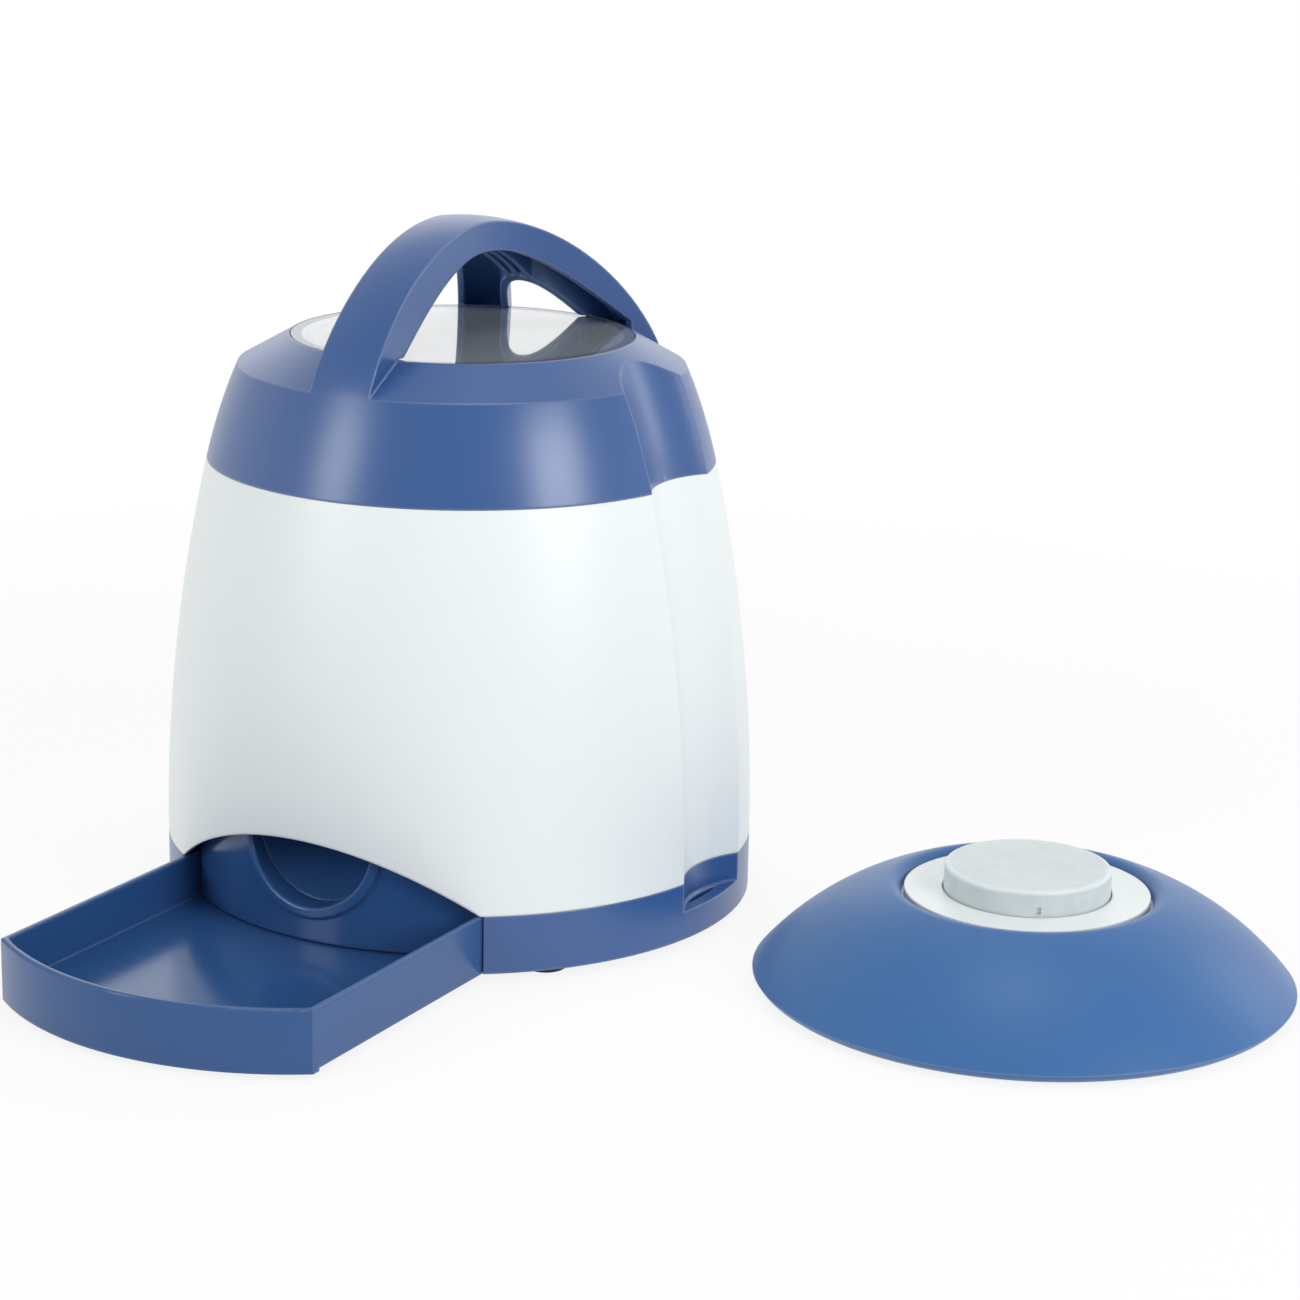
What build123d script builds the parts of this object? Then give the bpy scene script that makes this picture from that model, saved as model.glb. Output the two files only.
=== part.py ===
"""Treat dispenser with a remote push button: each physical piece is written to its own STEP file."""

import os
from math import acos, asin, cos, degrees, hypot, pi, radians, sin, sqrt, tan

from build123d import *

# Dispenser outline, in millimetres, +Z up, tray towards -Y, origin on the floor under the barrel axis
BASE_R = 100.0
FOOT_H = 3.0
BAND_H = 19.4
BODY_H = 128.9
BODY_TAPER = 14.7
LID_H = 31.7
LID_ROLL = 3.17
SHOULDER_H = 9.9
SHOULDER_RUN = 17.7
HANDLE_RISE = 38.6
WALL = 2.5

# General clearances
OVERRUN = 1.0
FIT = 0.4
SLIDE_FIT = 0.5
RUN_FIT = 0.05
FULL_DEG = 360.0

# Heights that follow from the outline
Z_BASE = FOOT_H
Z_SEAM = Z_BASE + BAND_H
Z_LID = Z_SEAM + BODY_H
Z_CREASE = Z_LID + LID_H
Z_WINDOW = Z_CREASE + SHOULDER_H
Z_TOP = Z_WINDOW + HANDLE_RISE

# Barrel profile: an arc upright at the seam, and a tighter lid arc that leaves it without a kink
BODY_TOP_R = BASE_R - BODY_TAPER
BODY_ARC_R = (BODY_H**2 + BODY_TAPER**2) / (2 * BODY_TAPER)
BODY_ARC = (BASE_R - BODY_ARC_R, Z_SEAM, BODY_ARC_R)
LID_TILT = asin(BODY_H / BODY_ARC_R)
LID_RUN_IN = LID_H * tan(LID_TILT) + LID_ROLL
LID_ARC_R = (LID_RUN_IN**2 + LID_H**2) / (2 * LID_ROLL * cos(LID_TILT))
CREASE_R = BODY_TOP_R - LID_RUN_IN
WINDOW_R = CREASE_R - SHOULDER_RUN
LID_ARC = (BODY_TOP_R - LID_ARC_R * cos(LID_TILT), Z_LID - LID_ARC_R * sin(LID_TILT), LID_ARC_R)

# Grip hollows on both sides, and the pockets that end them in the base band
HOLLOW_R = 34.5
HOLLOW_DEPTH = 7.8
POCKET_DROP = 9.9
POCKET_ROUND = 0.8
LEDGE_RIM = 4.5
SLOT_L = 19.0

# Base floor and tray bay
FLOOR_T = 1.8
Z_FLOOR = Z_BASE + FLOOR_T
BAY_WALL = 2.0

# Cells, contacts and door of the dispenser: four AA
AA_R = 7.25
AA_L = 49.5
AA_NUB_R = 2.6
AA_NUB_L = 1.0
CELL_GAP = 0.9
CONTACT_T = 0.5
CONTACT_HALF = 5.0
CONTACT_ROOM = 3.2
DOOR_TAB_R = 4.0
DOOR_SCREW_L = 8.0

# Cell bay behind the tray, set against the inside of the band
BAY_CLEAR = 2.3
BAY_HALF = AA_L + AA_NUB_L + CONTACT_ROOM
BAY_DEEP = 4 * AA_R + 3 * CELL_GAP
BAY_BACK = sqrt((BASE_R - WALL) ** 2 - (BAY_HALF + BAY_WALL) ** 2) - BAY_WALL - BAY_CLEAR
BAY_FRONT = BAY_BACK - BAY_DEEP
Z_CELL = Z_FLOOR + AA_R + FIT
Z_ROOF = Z_CELL + AA_R + FIT

# Tray: closed it stops short of the cell bay, pulled out its rear wall meets the outlet wall's side returns
TRAY_SIDE = 41.75
TRAY_HALF = BASE_R - TRAY_SIDE
TRAY_WALL = 2.3
TRAY_FLOOR_T = 1.6
TRAY_CLEAR = 4.0
TRAY_BACK = BAY_FRONT - BAY_WALL - TRAY_CLEAR
TRAY_FRONT_DROP = 1.0
TRAY_EDGE = 0.8
OUTLET_SET_BACK = 6.0
OUTLET_R = BASE_R - OUTLET_SET_BACK
OUTLET_HALF = TRAY_HALF - TRAY_WALL - SLIDE_FIT
RETURN_L = 16.6
TRAY_STOP = sqrt(OUTLET_R**2 - OUTLET_HALF**2) - RETURN_L
TRAY_TRAVEL = TRAY_STOP + TRAY_BACK - TRAY_WALL - SLIDE_FIT
Z_TRAY_FLOOR = Z_FLOOR + SLIDE_FIT + TRAY_FLOOR_T

# Arch in the barrel over the tray
ARCH_RISE = 20.6
ARCH_HALF = TRAY_HALF - FIT
ARCH_R = (ARCH_HALF**2 + ARCH_RISE**2) / (2 * ARCH_RISE)

# Outlet wall and chute
OUTLET_T = 2.0
OUTLET_CORNER = 3.0
Z_OUTLET_FOOT = Z_TRAY_FLOOR + SLIDE_FIT
HOLE_R = 23.0
LIP_W = 4.0
LIP_H = 1.4
LIP_ROUND_SHARE = 0.8
Z_HOLE = Z_SEAM + ARCH_RISE - OVERRUN
Z_OUTLET_TOP = Z_HOLE + HOLE_R + LIP_W + OVERRUN
CHUTE_T = 2.0
EAR_T = 2.5
EAR_R = 5.0
Z_EAR = Z_SEAM + 2 * FIT

# Circuit board of the dispenser, on the roof of the cell bay
BOARD_T = 1.6
BOARD_HALF_X = 34.0
BOARD_HALF_Y = 16.0
BOARD_POST_R = 2.6
BOARD_POST_H = 4.0
PART_X = 22.0
RADIO_X = 16.0
RADIO_Y = 12.0
RADIO_H = 2.8
BUZZER_R = 6.0
BUZZER_H = 5.5
Z_BOARD = Z_SEAM + BOARD_POST_H

# Drive, stacked up from the circuit board: motor, gearbox, bracket, gears
SHAFT_R = 3.0
MODULE = 1.0
GEAR_TEETH = 48
PINION_TEETH = 12
PRESSURE_DEG = 25.0
ADDENDUM_SHARE = 0.8
DEDENDUM_SHARE = 1.1
BACKLASH = 0.24
FLANK_STEPS = 4
GEAR_T = 6.0
GEAR_GAP = 3.5
BRACKET_T = 2.5
CENTRE_DISTANCE = MODULE * (GEAR_TEETH + PINION_TEETH) / 2
OUTPUT_R = 2.5
GEARBOX_R = 15.0
GEARBOX_H = 16.0
MOTOR_R = 12.2
MOTOR_H = 14.0
MOTOR_CLEAR = 2.0
POST_R = 4.0
Z_MOTOR = Z_BOARD + BOARD_T + MOTOR_CLEAR + OVERRUN
Z_BRACKET = Z_MOTOR + MOTOR_H + GEARBOX_H
Z_GEAR = Z_BRACKET + BRACKET_T + GEAR_GAP
Z_WELL_UNDER = Z_GEAR + GEAR_T + GEAR_GAP

# Hopper funnel on the barrel's ledge, and the wheel housing under it; the port fills the room beside the hub
HOPPER_T = 2.0
HOPPER_TOP_DROP = 8.3
Z_FLANGE = Z_LID - HOPPER_TOP_DROP
LEDGE_T = 2.5
Z_LEDGE = Z_FLANGE - HOPPER_T
FLANGE_W = 14.0
FLANGE_R = BODY_ARC[0] + sqrt((BODY_ARC_R - WALL) ** 2 - (Z_FLANGE - Z_SEAM) ** 2) - FIT
FUNNEL_R = FLANGE_R - FLANGE_W
FUNNEL_RUN = 12.0
WELL_R = FUNNEL_R - FUNNEL_RUN
WELL_DEPTH = 18.0
Z_WELL = Z_WELL_UNDER + HOPPER_T
Z_RIM = Z_WELL + WELL_DEPTH
HUB_R = 20.0
HUB_WEB = 5.5
PORT_WEB = 3.7
PORT_R = (WELL_R - PORT_WEB - HUB_WEB - HUB_R) / 2
PORT_ORBIT = WELL_R - PORT_R - PORT_WEB
SHIELD_T = 2.0

# Wheel with vanes, and the stirrer on its hub
WHEEL_H = 14.0
VANES = 6
VANE_T = 5.0
HUB_ROUND = 4.0
CONE_H = 24.0
CONE_R = HUB_R - OVERRUN
CONE_TIP_R = 6.0
FIN_COUNT = 3
FIN_T = 2.4
FIN_RISE = 6.0

# Screws: shank and head, and the boss around a screw
SCREW_R = 1.5
SCREW_HEAD_R = 2.8
SCREW_HEAD_H = 2.0
SMALL_SCREW_R = 1.0
SMALL_HEAD_R = 1.9
SMALL_HEAD_H = 1.4
BOSS_R = 4.5
SCREW_GRIP = 9.0
BOSS_DEEP = 12.0
FRONT_BOSS_DEG = 62.0
REAR_BOSS_DEG = 125.0
HOPPER_SCREW_DEG = 45.0

# Feet
FOOT_R = 7.0
FOOT_SINK = 0.6
FRONT_FOOT_DEG = 50.0
REAR_FOOT_DEG = 130.0

# Power switch under the base
SWITCH_IN = 24.0
SWITCH_X = BASE_R - SWITCH_IN
SWITCH_Y = -12.0
SWITCH_HALF_X = 4.0
SWITCH_HALF_Y = 7.0
SWITCH_H = 5.0
KNOB_HALF_X = 1.8
KNOB_HALF_Y = 2.2
KNOB_TRAVEL = 4.0
KNOB_PROUD = 1.6

# Lid details
SPIGOT_H = 5.0
SPIGOT_T = 2.0
SPIGOT_ROOT = 5.0
GLASS_T = 1.8
GLASS_DROP = 0.3
SEAT_W = 3.5
SEAT_T = 2.0

# Handle: side curve, plan of the wishbone, hollow underside
HANDLE_DEPTH = 10.5
HANDLE_HALF = 9.8
HANDLE_FOOT_HALF = 11.2
HANDLE_FOOT_IN_SHARE = 0.93
OUTER_PULL_SHARE = 0.42
OUTER_CROWN_SHARE = 0.5
INNER_LEAN_SHARE = 0.31
INNER_PULL_SHARE = 0.5
INNER_CROWN_SHARE = 0.38
FLARE_START_SHARE = 0.12
FLARE_TURN_SHARE = 0.185
FLARE_BEND_X_SHARE = 0.356
FLARE_BEND_Y_SHARE = 0.528
REAR_HALF_SHARE = 0.646
CROTCH_SHARE = 0.495
CROTCH_R = 10.0
CROTCH_WAIST_X_SHARE = 0.17
CROTCH_WAIST_Y_SHARE = 0.71
CROTCH_OPEN_SHARE = 0.356
HANDLE_SKIN = 3.0
HANDLE_SIDE = 2.6
HANDLE_RIB = 1.8
HANDLE_RIB_PITCH = 4.2

# Push button: place on the floor and outline
REMOTE_X = 207.0
REMOTE_Y = 9.0
RIM_R = 87.0
RIM_Z = 4.0
RIM_LOW = 0.8
RIM_BULGE = 0.5
DOME_TOP_R = 42.0
DOME_TOP_Z = 34.5
DOME_SAG = 3.9
DOME_T = 3.0
LIP_ROUND = 3.9
PLATE_R = 39.2
PLATE_DROP = 2.1
PLATE_T = 2.0
CAP_R = 26.6
CAP_RISE = 8.4
CAP_WALL = 2.0
CAP_EDGE = 1.2
CAP_TRAVEL = 3.0
CAP_FLANGE = 2.4
CAP_FLANGE_T = 2.2
NOTCH_W = 1.4
NOTCH_H = 2.2
NOTCH_DEEP = 0.6
NOTCH_DEG = 30.0
Z_PLATE = DOME_TOP_Z - PLATE_DROP
Z_PLATE_UNDER = Z_PLATE - PLATE_T
Z_CAP_FLANGE = Z_PLATE_UNDER - FIT
Z_CAP_TOP = Z_PLATE + CAP_RISE

# Push button inside
PAD_H = 1.5
PAD_R = 6.0
PAD_SINK = 0.5
PAD_ORBIT_SHARE = 0.72
PAD_DEG = 45.0
PLATE_BASE_T = 2.0
Z_REMOTE_FLOOR = PAD_H + PLATE_BASE_T
TUB_T = 2.2
TUB_FLANGE = 12.0
Z_TUB = Z_REMOTE_FLOOR + 2 * OVERRUN
STEP_T = 2.0
STEP_W = 6.0
STEP_DROP = 5.0
AAA_R = 5.25
AAA_L = 43.7
AAA_NUB_R = 1.9
AAA_NUB_L = 0.8
REMOTE_CELL_CLEAR = 0.6
REMOTE_BOARD_R_SHARE = 0.88
REMOTE_BOARD_DEG = 60.0
REMOTE_BOSS_H = 7.0
TACT_HALF = 6.0
TACT_H = 3.4
TACT_STEM_R = 1.8
TACT_STEM_H = 1.0
SPRING_R = 10.5
SPRING_WIRE_R = 0.7
SPRING_TURNS = 4
POST_STEM_R = 4.0


def disc(radius, z0, z1, x=0, y=0):
    """Upright cylinder between two heights."""
    return Pos(x, y, z0) * Cylinder(radius, z1 - z0, align=(Align.CENTER, Align.CENTER, Align.MIN))


def tube(outer, inner, z0, z1, x=0, y=0):
    """Upright ring between two heights."""
    return disc(outer, z0, z1, x, y) - disc(inner, z0 - OVERRUN, z1 + OVERRUN, x, y)


def block(x0, x1, y0, y1, z0, z1):
    """Box between two corners."""
    return Pos(x0, y0, z0) * Box(x1 - x0, y1 - y0, z1 - z0, align=(Align.MIN, Align.MIN, Align.MIN))


def both_sides(shape):
    """The shape and its mirror image across the middle plane."""
    return shape + mirror(shape, about=Plane.YZ)


def spun(*edges):
    """Solid turned about the upright axis from edges in radius and height."""
    return revolve(Plane.XZ * make_face(edges), Axis.Z)


def polar(radius, angle_deg):
    """Point at an angle from the front (-Y), positive towards +X."""
    return radius * sin(radians(angle_deg)), -radius * cos(radians(angle_deg))


def ring_places(orbit, count, first_deg=0):
    """Points evenly spaced on a circle, the first at an angle from +X."""
    turns = [radians(first_deg + i * FULL_DEG / count) for i in range(count)]
    return [(orbit * cos(turn), orbit * sin(turn)) for turn in turns]


def arc_r(arc, z, inset=0):
    """Radius of a profile arc at a height."""
    return arc[0] + sqrt((arc[2] - inset) ** 2 - (z - arc[1]) ** 2)


def arc_edge(arc, z0, z1, inset=0):
    """Profile arc between two heights."""
    middle = (z0 + z1) / 2
    return ThreePointArc(*[(arc_r(arc, z, inset), z) for z in (z0, middle, z1)])


def envelope(arc, z0, z1, inset=0):
    """Full solid inside a profile arc."""
    r0, r1 = arc_r(arc, z0, inset), arc_r(arc, z1, inset)
    return spun(arc_edge(arc, z0, z1, inset), Polyline((r1, z1), (0, z1), (0, z0), (r0, z0)))


def hollows(arc, z_top, grow=0):
    """Both grip hollows following a profile arc, made wider by grow."""
    reach = arc[2] - HOLLOW_DEPTH
    turn = degrees(asin((z_top + HOLLOW_DEPTH - arc[1]) / (reach - grow)))
    section = Pos(arc[0] + reach + HOLLOW_R, 0, arc[1]) * Circle(HOLLOW_R + grow)
    return both_sides(revolve(section, Axis((arc[0], 0, arc[1]), (0, -1, 0)), turn))


def screw(x, y, z_head, up, length, shank=SCREW_R, head=SCREW_HEAD_R, head_h=SCREW_HEAD_H):
    """Screw whose head bears at z_head; up is 1 when the shank points up and -1 when it points down."""
    low, high = sorted((z_head, z_head + up * length))
    cap_low, cap_high = sorted((z_head, z_head - up * head_h))
    return disc(shank, low, high, x, y) + disc(head, cap_low, cap_high, x, y)


def base_bosses():
    """Places of the four screws that join base and barrel."""
    orbit = BASE_R - WALL - BOSS_R + FIT
    return [polar(orbit, s * a) for a in (FRONT_BOSS_DEG, REAR_BOSS_DEG) for s in (1, -1)]


def foot_places():
    """Places of the four feet."""
    orbit = BASE_R - WALL - FOOT_R - SLIDE_FIT * 4
    return [polar(orbit, s * a) for a in (FRONT_FOOT_DEG, REAR_FOOT_DEG) for s in (1, -1)]


def ear_places():
    """Places of the outlet wall's two screws beside the tray bay."""
    x = TRAY_HALF + SLIDE_FIT + BAY_WALL + EAR_R
    return [(s * x, -TRAY_STOP) for s in (1, -1)]


# Screw of the cell door, in a boss behind the cell bay
DOOR_SCREW_Y = BAY_BACK + BAY_WALL + BOSS_R - OVERRUN


def base_shell():
    """Band, floor and grip pockets of the base before the bay is cut."""
    band = tube(BASE_R, BASE_R - WALL, Z_BASE, Z_SEAM) + disc(BASE_R - WALL / 2, Z_BASE, Z_FLOOR)
    x = BASE_R - HOLLOW_DEPTH + HOLLOW_R
    ledge = Z_SEAM - POCKET_DROP
    hollow = disc(HOLLOW_R, ledge, Z_SEAM + POCKET_ROUND, x)
    hollow = both_sides(fillet(hollow.edges().group_by(Axis.Z)[0], POCKET_ROUND))
    lining = both_sides(disc(HOLLOW_R + WALL, ledge - WALL, Z_SEAM, x))
    lining &= disc(BASE_R - WALL / 2, Z_BASE, Z_SEAM)
    slot = disc(BASE_R - LEDGE_RIM, Z_FLOOR + FIT, Z_SEAM) & disc(HOLLOW_R - POCKET_ROUND, Z_FLOOR, Z_SEAM, x)
    slot &= block(0, BASE_R, -SLOT_L / 2, SLOT_L / 2, Z_FLOOR, Z_SEAM)
    return band + lining - hollow - both_sides(slot)


def base():
    """Base moulding: band, tray bay, cell bay and screw columns."""
    inner = TRAY_HALF + SLIDE_FIT
    body = base_shell()
    bay = block(inner, inner + BAY_WALL, -BASE_R, BAY_FRONT - BAY_WALL, Z_BASE, Z_SEAM - OVERRUN)
    body += both_sides(bay) & disc(BASE_R - WALL / 2, Z_BASE, Z_SEAM)
    for x, y in base_bosses():
        body += disc(BOSS_R, Z_BASE, Z_SEAM, x, y)
    for x, y in ear_places():
        body += disc(EAR_R - FIT, Z_BASE, Z_EAR, x, y)
    body += cell_bay()
    front = block(-inner, inner, -BASE_R - OVERRUN, -OUTLET_R / 2, Z_BASE - OVERRUN, Z_SEAM + OVERRUN)
    body -= front - disc(BASE_R - WALL - SLIDE_FIT, Z_BASE - OVERRUN, Z_FLOOR)
    slit = inner - TRAY_WALL - 2 * SLIDE_FIT
    body -= both_sides(
        block(slit, inner, -BASE_R, TRAY_BACK + SLIDE_FIT, Z_BASE - OVERRUN, Z_SEAM + OVERRUN)
    )
    return body - base_holes()


def cell_bay():
    """Walls and roof round the four cells, with the posts of the circuit board."""
    half = BAY_HALF + BAY_WALL
    outer = block(-half, half, BAY_FRONT - BAY_WALL, BAY_BACK + BAY_WALL, Z_BASE, Z_SEAM)
    outer += disc(BOSS_R, Z_BASE, Z_FLOOR + BOSS_DEEP, 0, DOOR_SCREW_Y)
    for x, y in board_places():
        outer += disc(BOARD_POST_R, Z_SEAM - OVERRUN, Z_SEAM + BOARD_POST_H, x, y)
    return outer - block(-BAY_HALF, BAY_HALF, BAY_FRONT, BAY_BACK, Z_FLOOR, Z_ROOF)


def board_places():
    """Places of the four board screws."""
    y = (BAY_FRONT + BAY_BACK) / 2
    inset = BOARD_POST_R + FIT
    return [
        (sx * (BOARD_HALF_X - inset), y + sy * (BOARD_HALF_Y - inset)) for sx in (1, -1) for sy in (1, -1)
    ]


def door_box(grow, z0, z1):
    """Outline of the cell door, wider by grow."""
    inset = BAY_WALL + FIT - grow
    return block(-BAY_HALF + inset, BAY_HALF - inset, BAY_FRONT + inset, BAY_BACK - inset, z0, z1)


def door_tab(grow, y0, y1, z0, z1):
    """Round-ended tab for a door's screw, from inside the door to the screw's place, wider by grow."""
    half = DOOR_TAB_R + grow
    return block(-half, half, y0, y1, z0, z1) + disc(half, z0, z1, 0, y1)


def base_holes():
    """Everything drilled or cut through the base floor."""
    cut = door_box(FIT, Z_BASE - OVERRUN, Z_FLOOR + OVERRUN)
    cut += door_tab(FIT, BAY_FRONT + BAY_DEEP / 2, DOOR_SCREW_Y, Z_BASE - OVERRUN, Z_FLOOR)
    cut += disc(SMALL_SCREW_R + RUN_FIT, Z_BASE, Z_FLOOR + DOOR_SCREW_L, 0, DOOR_SCREW_Y)
    for x, y in base_bosses():
        cut += disc(SCREW_R + FIT / 2, Z_BASE - OVERRUN, Z_SEAM + OVERRUN, x, y)
        cut += disc(SCREW_HEAD_R + FIT, Z_BASE - OVERRUN, Z_SEAM - SCREW_GRIP, x, y)
    for x, y in ear_places():
        cut += disc(SCREW_R + RUN_FIT, Z_EAR - BOSS_DEEP, Z_EAR + OVERRUN, x, y)
    for x, y in foot_places():
        cut += disc(FOOT_R + FIT, Z_BASE - OVERRUN, Z_BASE + FOOT_SINK, x, y)
    for x, y in board_places():
        cut += disc(SMALL_SCREW_R + RUN_FIT, Z_SEAM, Z_SEAM + BOARD_POST_H + OVERRUN, x, y)
    reach = KNOB_HALF_Y + FIT
    cut += block(
        SWITCH_X - KNOB_HALF_X - FIT,
        SWITCH_X + KNOB_HALF_X + FIT,
        SWITCH_Y - KNOB_TRAVEL / 2 - reach,
        SWITCH_Y + KNOB_TRAVEL / 2 + reach,
        Z_BASE - OVERRUN,
        Z_FLOOR + OVERRUN,
    )
    return cut


def rubber_feet():
    """Four round feet seated in shallow recesses."""
    return Compound([disc(FOOT_R, 0, Z_BASE + FOOT_SINK, x, y) for x, y in foot_places()])


def base_screws():
    """Four screws from below into the barrel."""
    z = Z_SEAM - SCREW_GRIP
    return Compound([screw(x, y, z, 1, SCREW_GRIP + BOSS_DEEP - OVERRUN) for x, y in base_bosses()])


def tray():
    """Drawer with a curved front, drawn closed and then pulled out by its travel."""
    outline = disc(BASE_R, Z_BASE, Z_SEAM) & block(-TRAY_HALF, TRAY_HALF, -BASE_R, TRAY_BACK, Z_BASE, Z_SEAM)
    inside = disc(BASE_R - WALL, Z_BASE, Z_SEAM)
    half = TRAY_HALF - TRAY_WALL
    inside &= block(-half, half, -BASE_R, TRAY_BACK - TRAY_WALL, Z_BASE, Z_SEAM)
    room = inside & block(-BASE_R, BASE_R, -BASE_R, BASE_R, Z_TRAY_FLOOR, Z_SEAM)
    under = disc(BASE_R - WALL, Z_BASE, Z_SEAM)
    under &= block(-half, half, -BASE_R, TRAY_BACK, Z_BASE, Z_TRAY_FLOOR - TRAY_FLOOR_T)
    body = outline - room - under
    front = tube(BASE_R, BASE_R - WALL, Z_BASE - TRAY_FRONT_DROP, Z_SEAM)
    body += front & block(-TRAY_HALF, TRAY_HALF, -BASE_R, -OUTLET_R / 2, Z_BASE - TRAY_FRONT_DROP, Z_SEAM)
    body = fillet(body.edges().group_by(Axis.Z)[-1], TRAY_EDGE)
    return Pos(0, -TRAY_TRAVEL, 0) * body


def port_plane():
    """Plane of the housing's port, looking down the chute."""
    return Plane(origin=(0, -PORT_ORBIT, Z_WELL_UNDER), x_dir=(1, 0, 0), z_dir=(0, 0, -1))


def outlet_plane():
    """Plane behind the outlet wall where the chute ends."""
    y = -sqrt((OUTLET_R - OUTLET_T) ** 2 - (HOLE_R + CHUTE_T) ** 2) + CHUTE_T
    return Plane(origin=(0, y, Z_HOLE), x_dir=(1, 0, 0), z_dir=(0, -1, 0))


def along_y(radius):
    """Level cylinder through the outlet hole, from the chute end to the front."""
    return extrude(outlet_plane() * Circle(radius), BASE_R - OUTLET_R / 2)


def outlet_panel():
    """Curved wall that dips into the tray, with side returns and screw ears."""
    x, y = ear_places()[0]
    back = -TRAY_STOP
    outline = disc(OUTLET_R, Z_OUTLET_FOOT, Z_OUTLET_TOP)
    outline &= block(-OUTLET_HALF, OUTLET_HALF, -BASE_R, back, Z_OUTLET_FOOT, Z_OUTLET_TOP)
    corners = outline.edges().filter_by(Axis.Z).group_by(Axis.Y)[0]
    outline = fillet(corners, OUTLET_CORNER)
    half = OUTLET_HALF - OUTLET_T
    inside = disc(OUTLET_R - OUTLET_T, Z_OUTLET_FOOT, Z_OUTLET_TOP)
    inside &= block(-half, half, -BASE_R, back, Z_OUTLET_FOOT, Z_OUTLET_TOP)
    wall = outline - inside
    ear = disc(EAR_R, Z_EAR, Z_EAR + EAR_T, x, y)
    ear += block(half, x, y - EAR_R, y + EAR_R, Z_EAR, Z_EAR + EAR_T)
    wall += both_sides(ear)
    return wall - both_sides(disc(SCREW_R + FIT / 2, Z_EAR - OVERRUN, Z_EAR + EAR_T + OVERRUN, x, y))


def outlet_wall():
    """Wall behind the arch with the rolled lip round its hole, and the collar that holds the chute."""
    middle = OUTLET_R - OUTLET_T / 2
    lip = along_y(HOLE_R + LIP_W) & tube(OUTLET_R + LIP_H, middle, Z_BASE, Z_LID)
    collar = along_y(HOLE_R + CHUTE_T) & disc(middle, Z_BASE, Z_LID)
    shape = outlet_panel() + lip - along_y(HOLE_R)
    shape = fillet(shape.faces().sort_by(Axis.Y)[0].edges(), LIP_H * LIP_ROUND_SHARE)
    return shape + (collar - along_y(HOLE_R))


def chute():
    """Funnel held between the housing's port and the collar of the outlet wall."""
    top, end = port_plane(), outlet_plane()
    outer = loft([top * Circle(PORT_R + CHUTE_T), end * Circle(HOLE_R + CHUTE_T)], ruled=True)
    return outer - loft([top * Circle(PORT_R), end * Circle(HOLE_R)], ruled=True)


def outlet_screws():
    """Two screws through the ears of the outlet wall."""
    return Compound([screw(x, y, Z_EAR + EAR_T, -1, BOSS_DEEP) for x, y in ear_places()])


def body_shell():
    """White barrel with grip hollows, front arch, hopper ledge and screw bosses."""
    shell = envelope(BODY_ARC, Z_SEAM, Z_LID) - envelope(BODY_ARC, Z_SEAM, Z_LID, WALL)
    cut = hollows(BODY_ARC, Z_LID)
    lining = (hollows(BODY_ARC, Z_LID, WALL) - cut) & envelope(BODY_ARC, Z_SEAM, Z_LID, WALL / 2)
    shell = shell - cut + lining
    ledge = tube(BASE_R, FUNNEL_R + HOPPER_T + FIT, Z_LEDGE - LEDGE_T, Z_LEDGE)
    for x, y in hopper_screw_places():
        ledge += disc(BOSS_R - OVERRUN, Z_LEDGE - BOSS_DEEP, Z_LEDGE, x, y)
    ledge &= envelope(BODY_ARC, Z_SEAM, Z_LID, WALL / 2)
    shell += ledge - hollows(BODY_ARC, Z_LID, WALL / 2)
    for x, y in base_bosses():
        shell += disc(BOSS_R, Z_SEAM, Z_SEAM + BOSS_DEEP, x, y) & envelope(BODY_ARC, Z_SEAM, Z_LID, WALL / 2)
    for x, y in base_bosses():
        shell -= disc(SCREW_R + RUN_FIT, Z_SEAM - OVERRUN, Z_SEAM + BOSS_DEEP - OVERRUN / 2, x, y)
    for x, y in hopper_screw_places():
        shell -= disc(SCREW_R + RUN_FIT, Z_LEDGE - BOSS_DEEP + OVERRUN, Z_LEDGE + OVERRUN, x, y)
    arch = Plane.XZ.offset(OUTLET_R / 2) * Pos(0, Z_SEAM + ARCH_RISE - ARCH_R) * Circle(ARCH_R)
    return shell - extrude(arch, BASE_R)


def hopper_screw_places():
    """Places of the four screws through the hopper flange."""
    orbit = (FUNNEL_R + HOPPER_T + FLANGE_R) / 2
    return [polar(orbit, s * (HOPPER_SCREW_DEG + q)) for q in (0, 2 * HOPPER_SCREW_DEG) for s in (1, -1)]


def post_places():
    """Places of the four posts that carry the motor bracket."""
    x = MODULE * GEAR_TEETH / 2 + POST_R + OVERRUN
    return [(s * x, y) for y in (-POST_R - OVERRUN, CENTRE_DISTANCE + POST_R + OVERRUN) for s in (1, -1)]


def housing_screw_places():
    """Places of the four screws between funnel and wheel housing."""
    return ring_places(WELL_R + HOPPER_T + BOSS_R - OVERRUN, 4, HOPPER_SCREW_DEG)


def funnel_inside(grow):
    """Cone inside the funnel, wider by grow."""
    low, high = (WELL_R + grow, Z_RIM), (FUNNEL_R + grow, Z_FLANGE)
    return spun(Polyline((0, Z_RIM), low, high, (0, Z_FLANGE), close=True))


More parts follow.
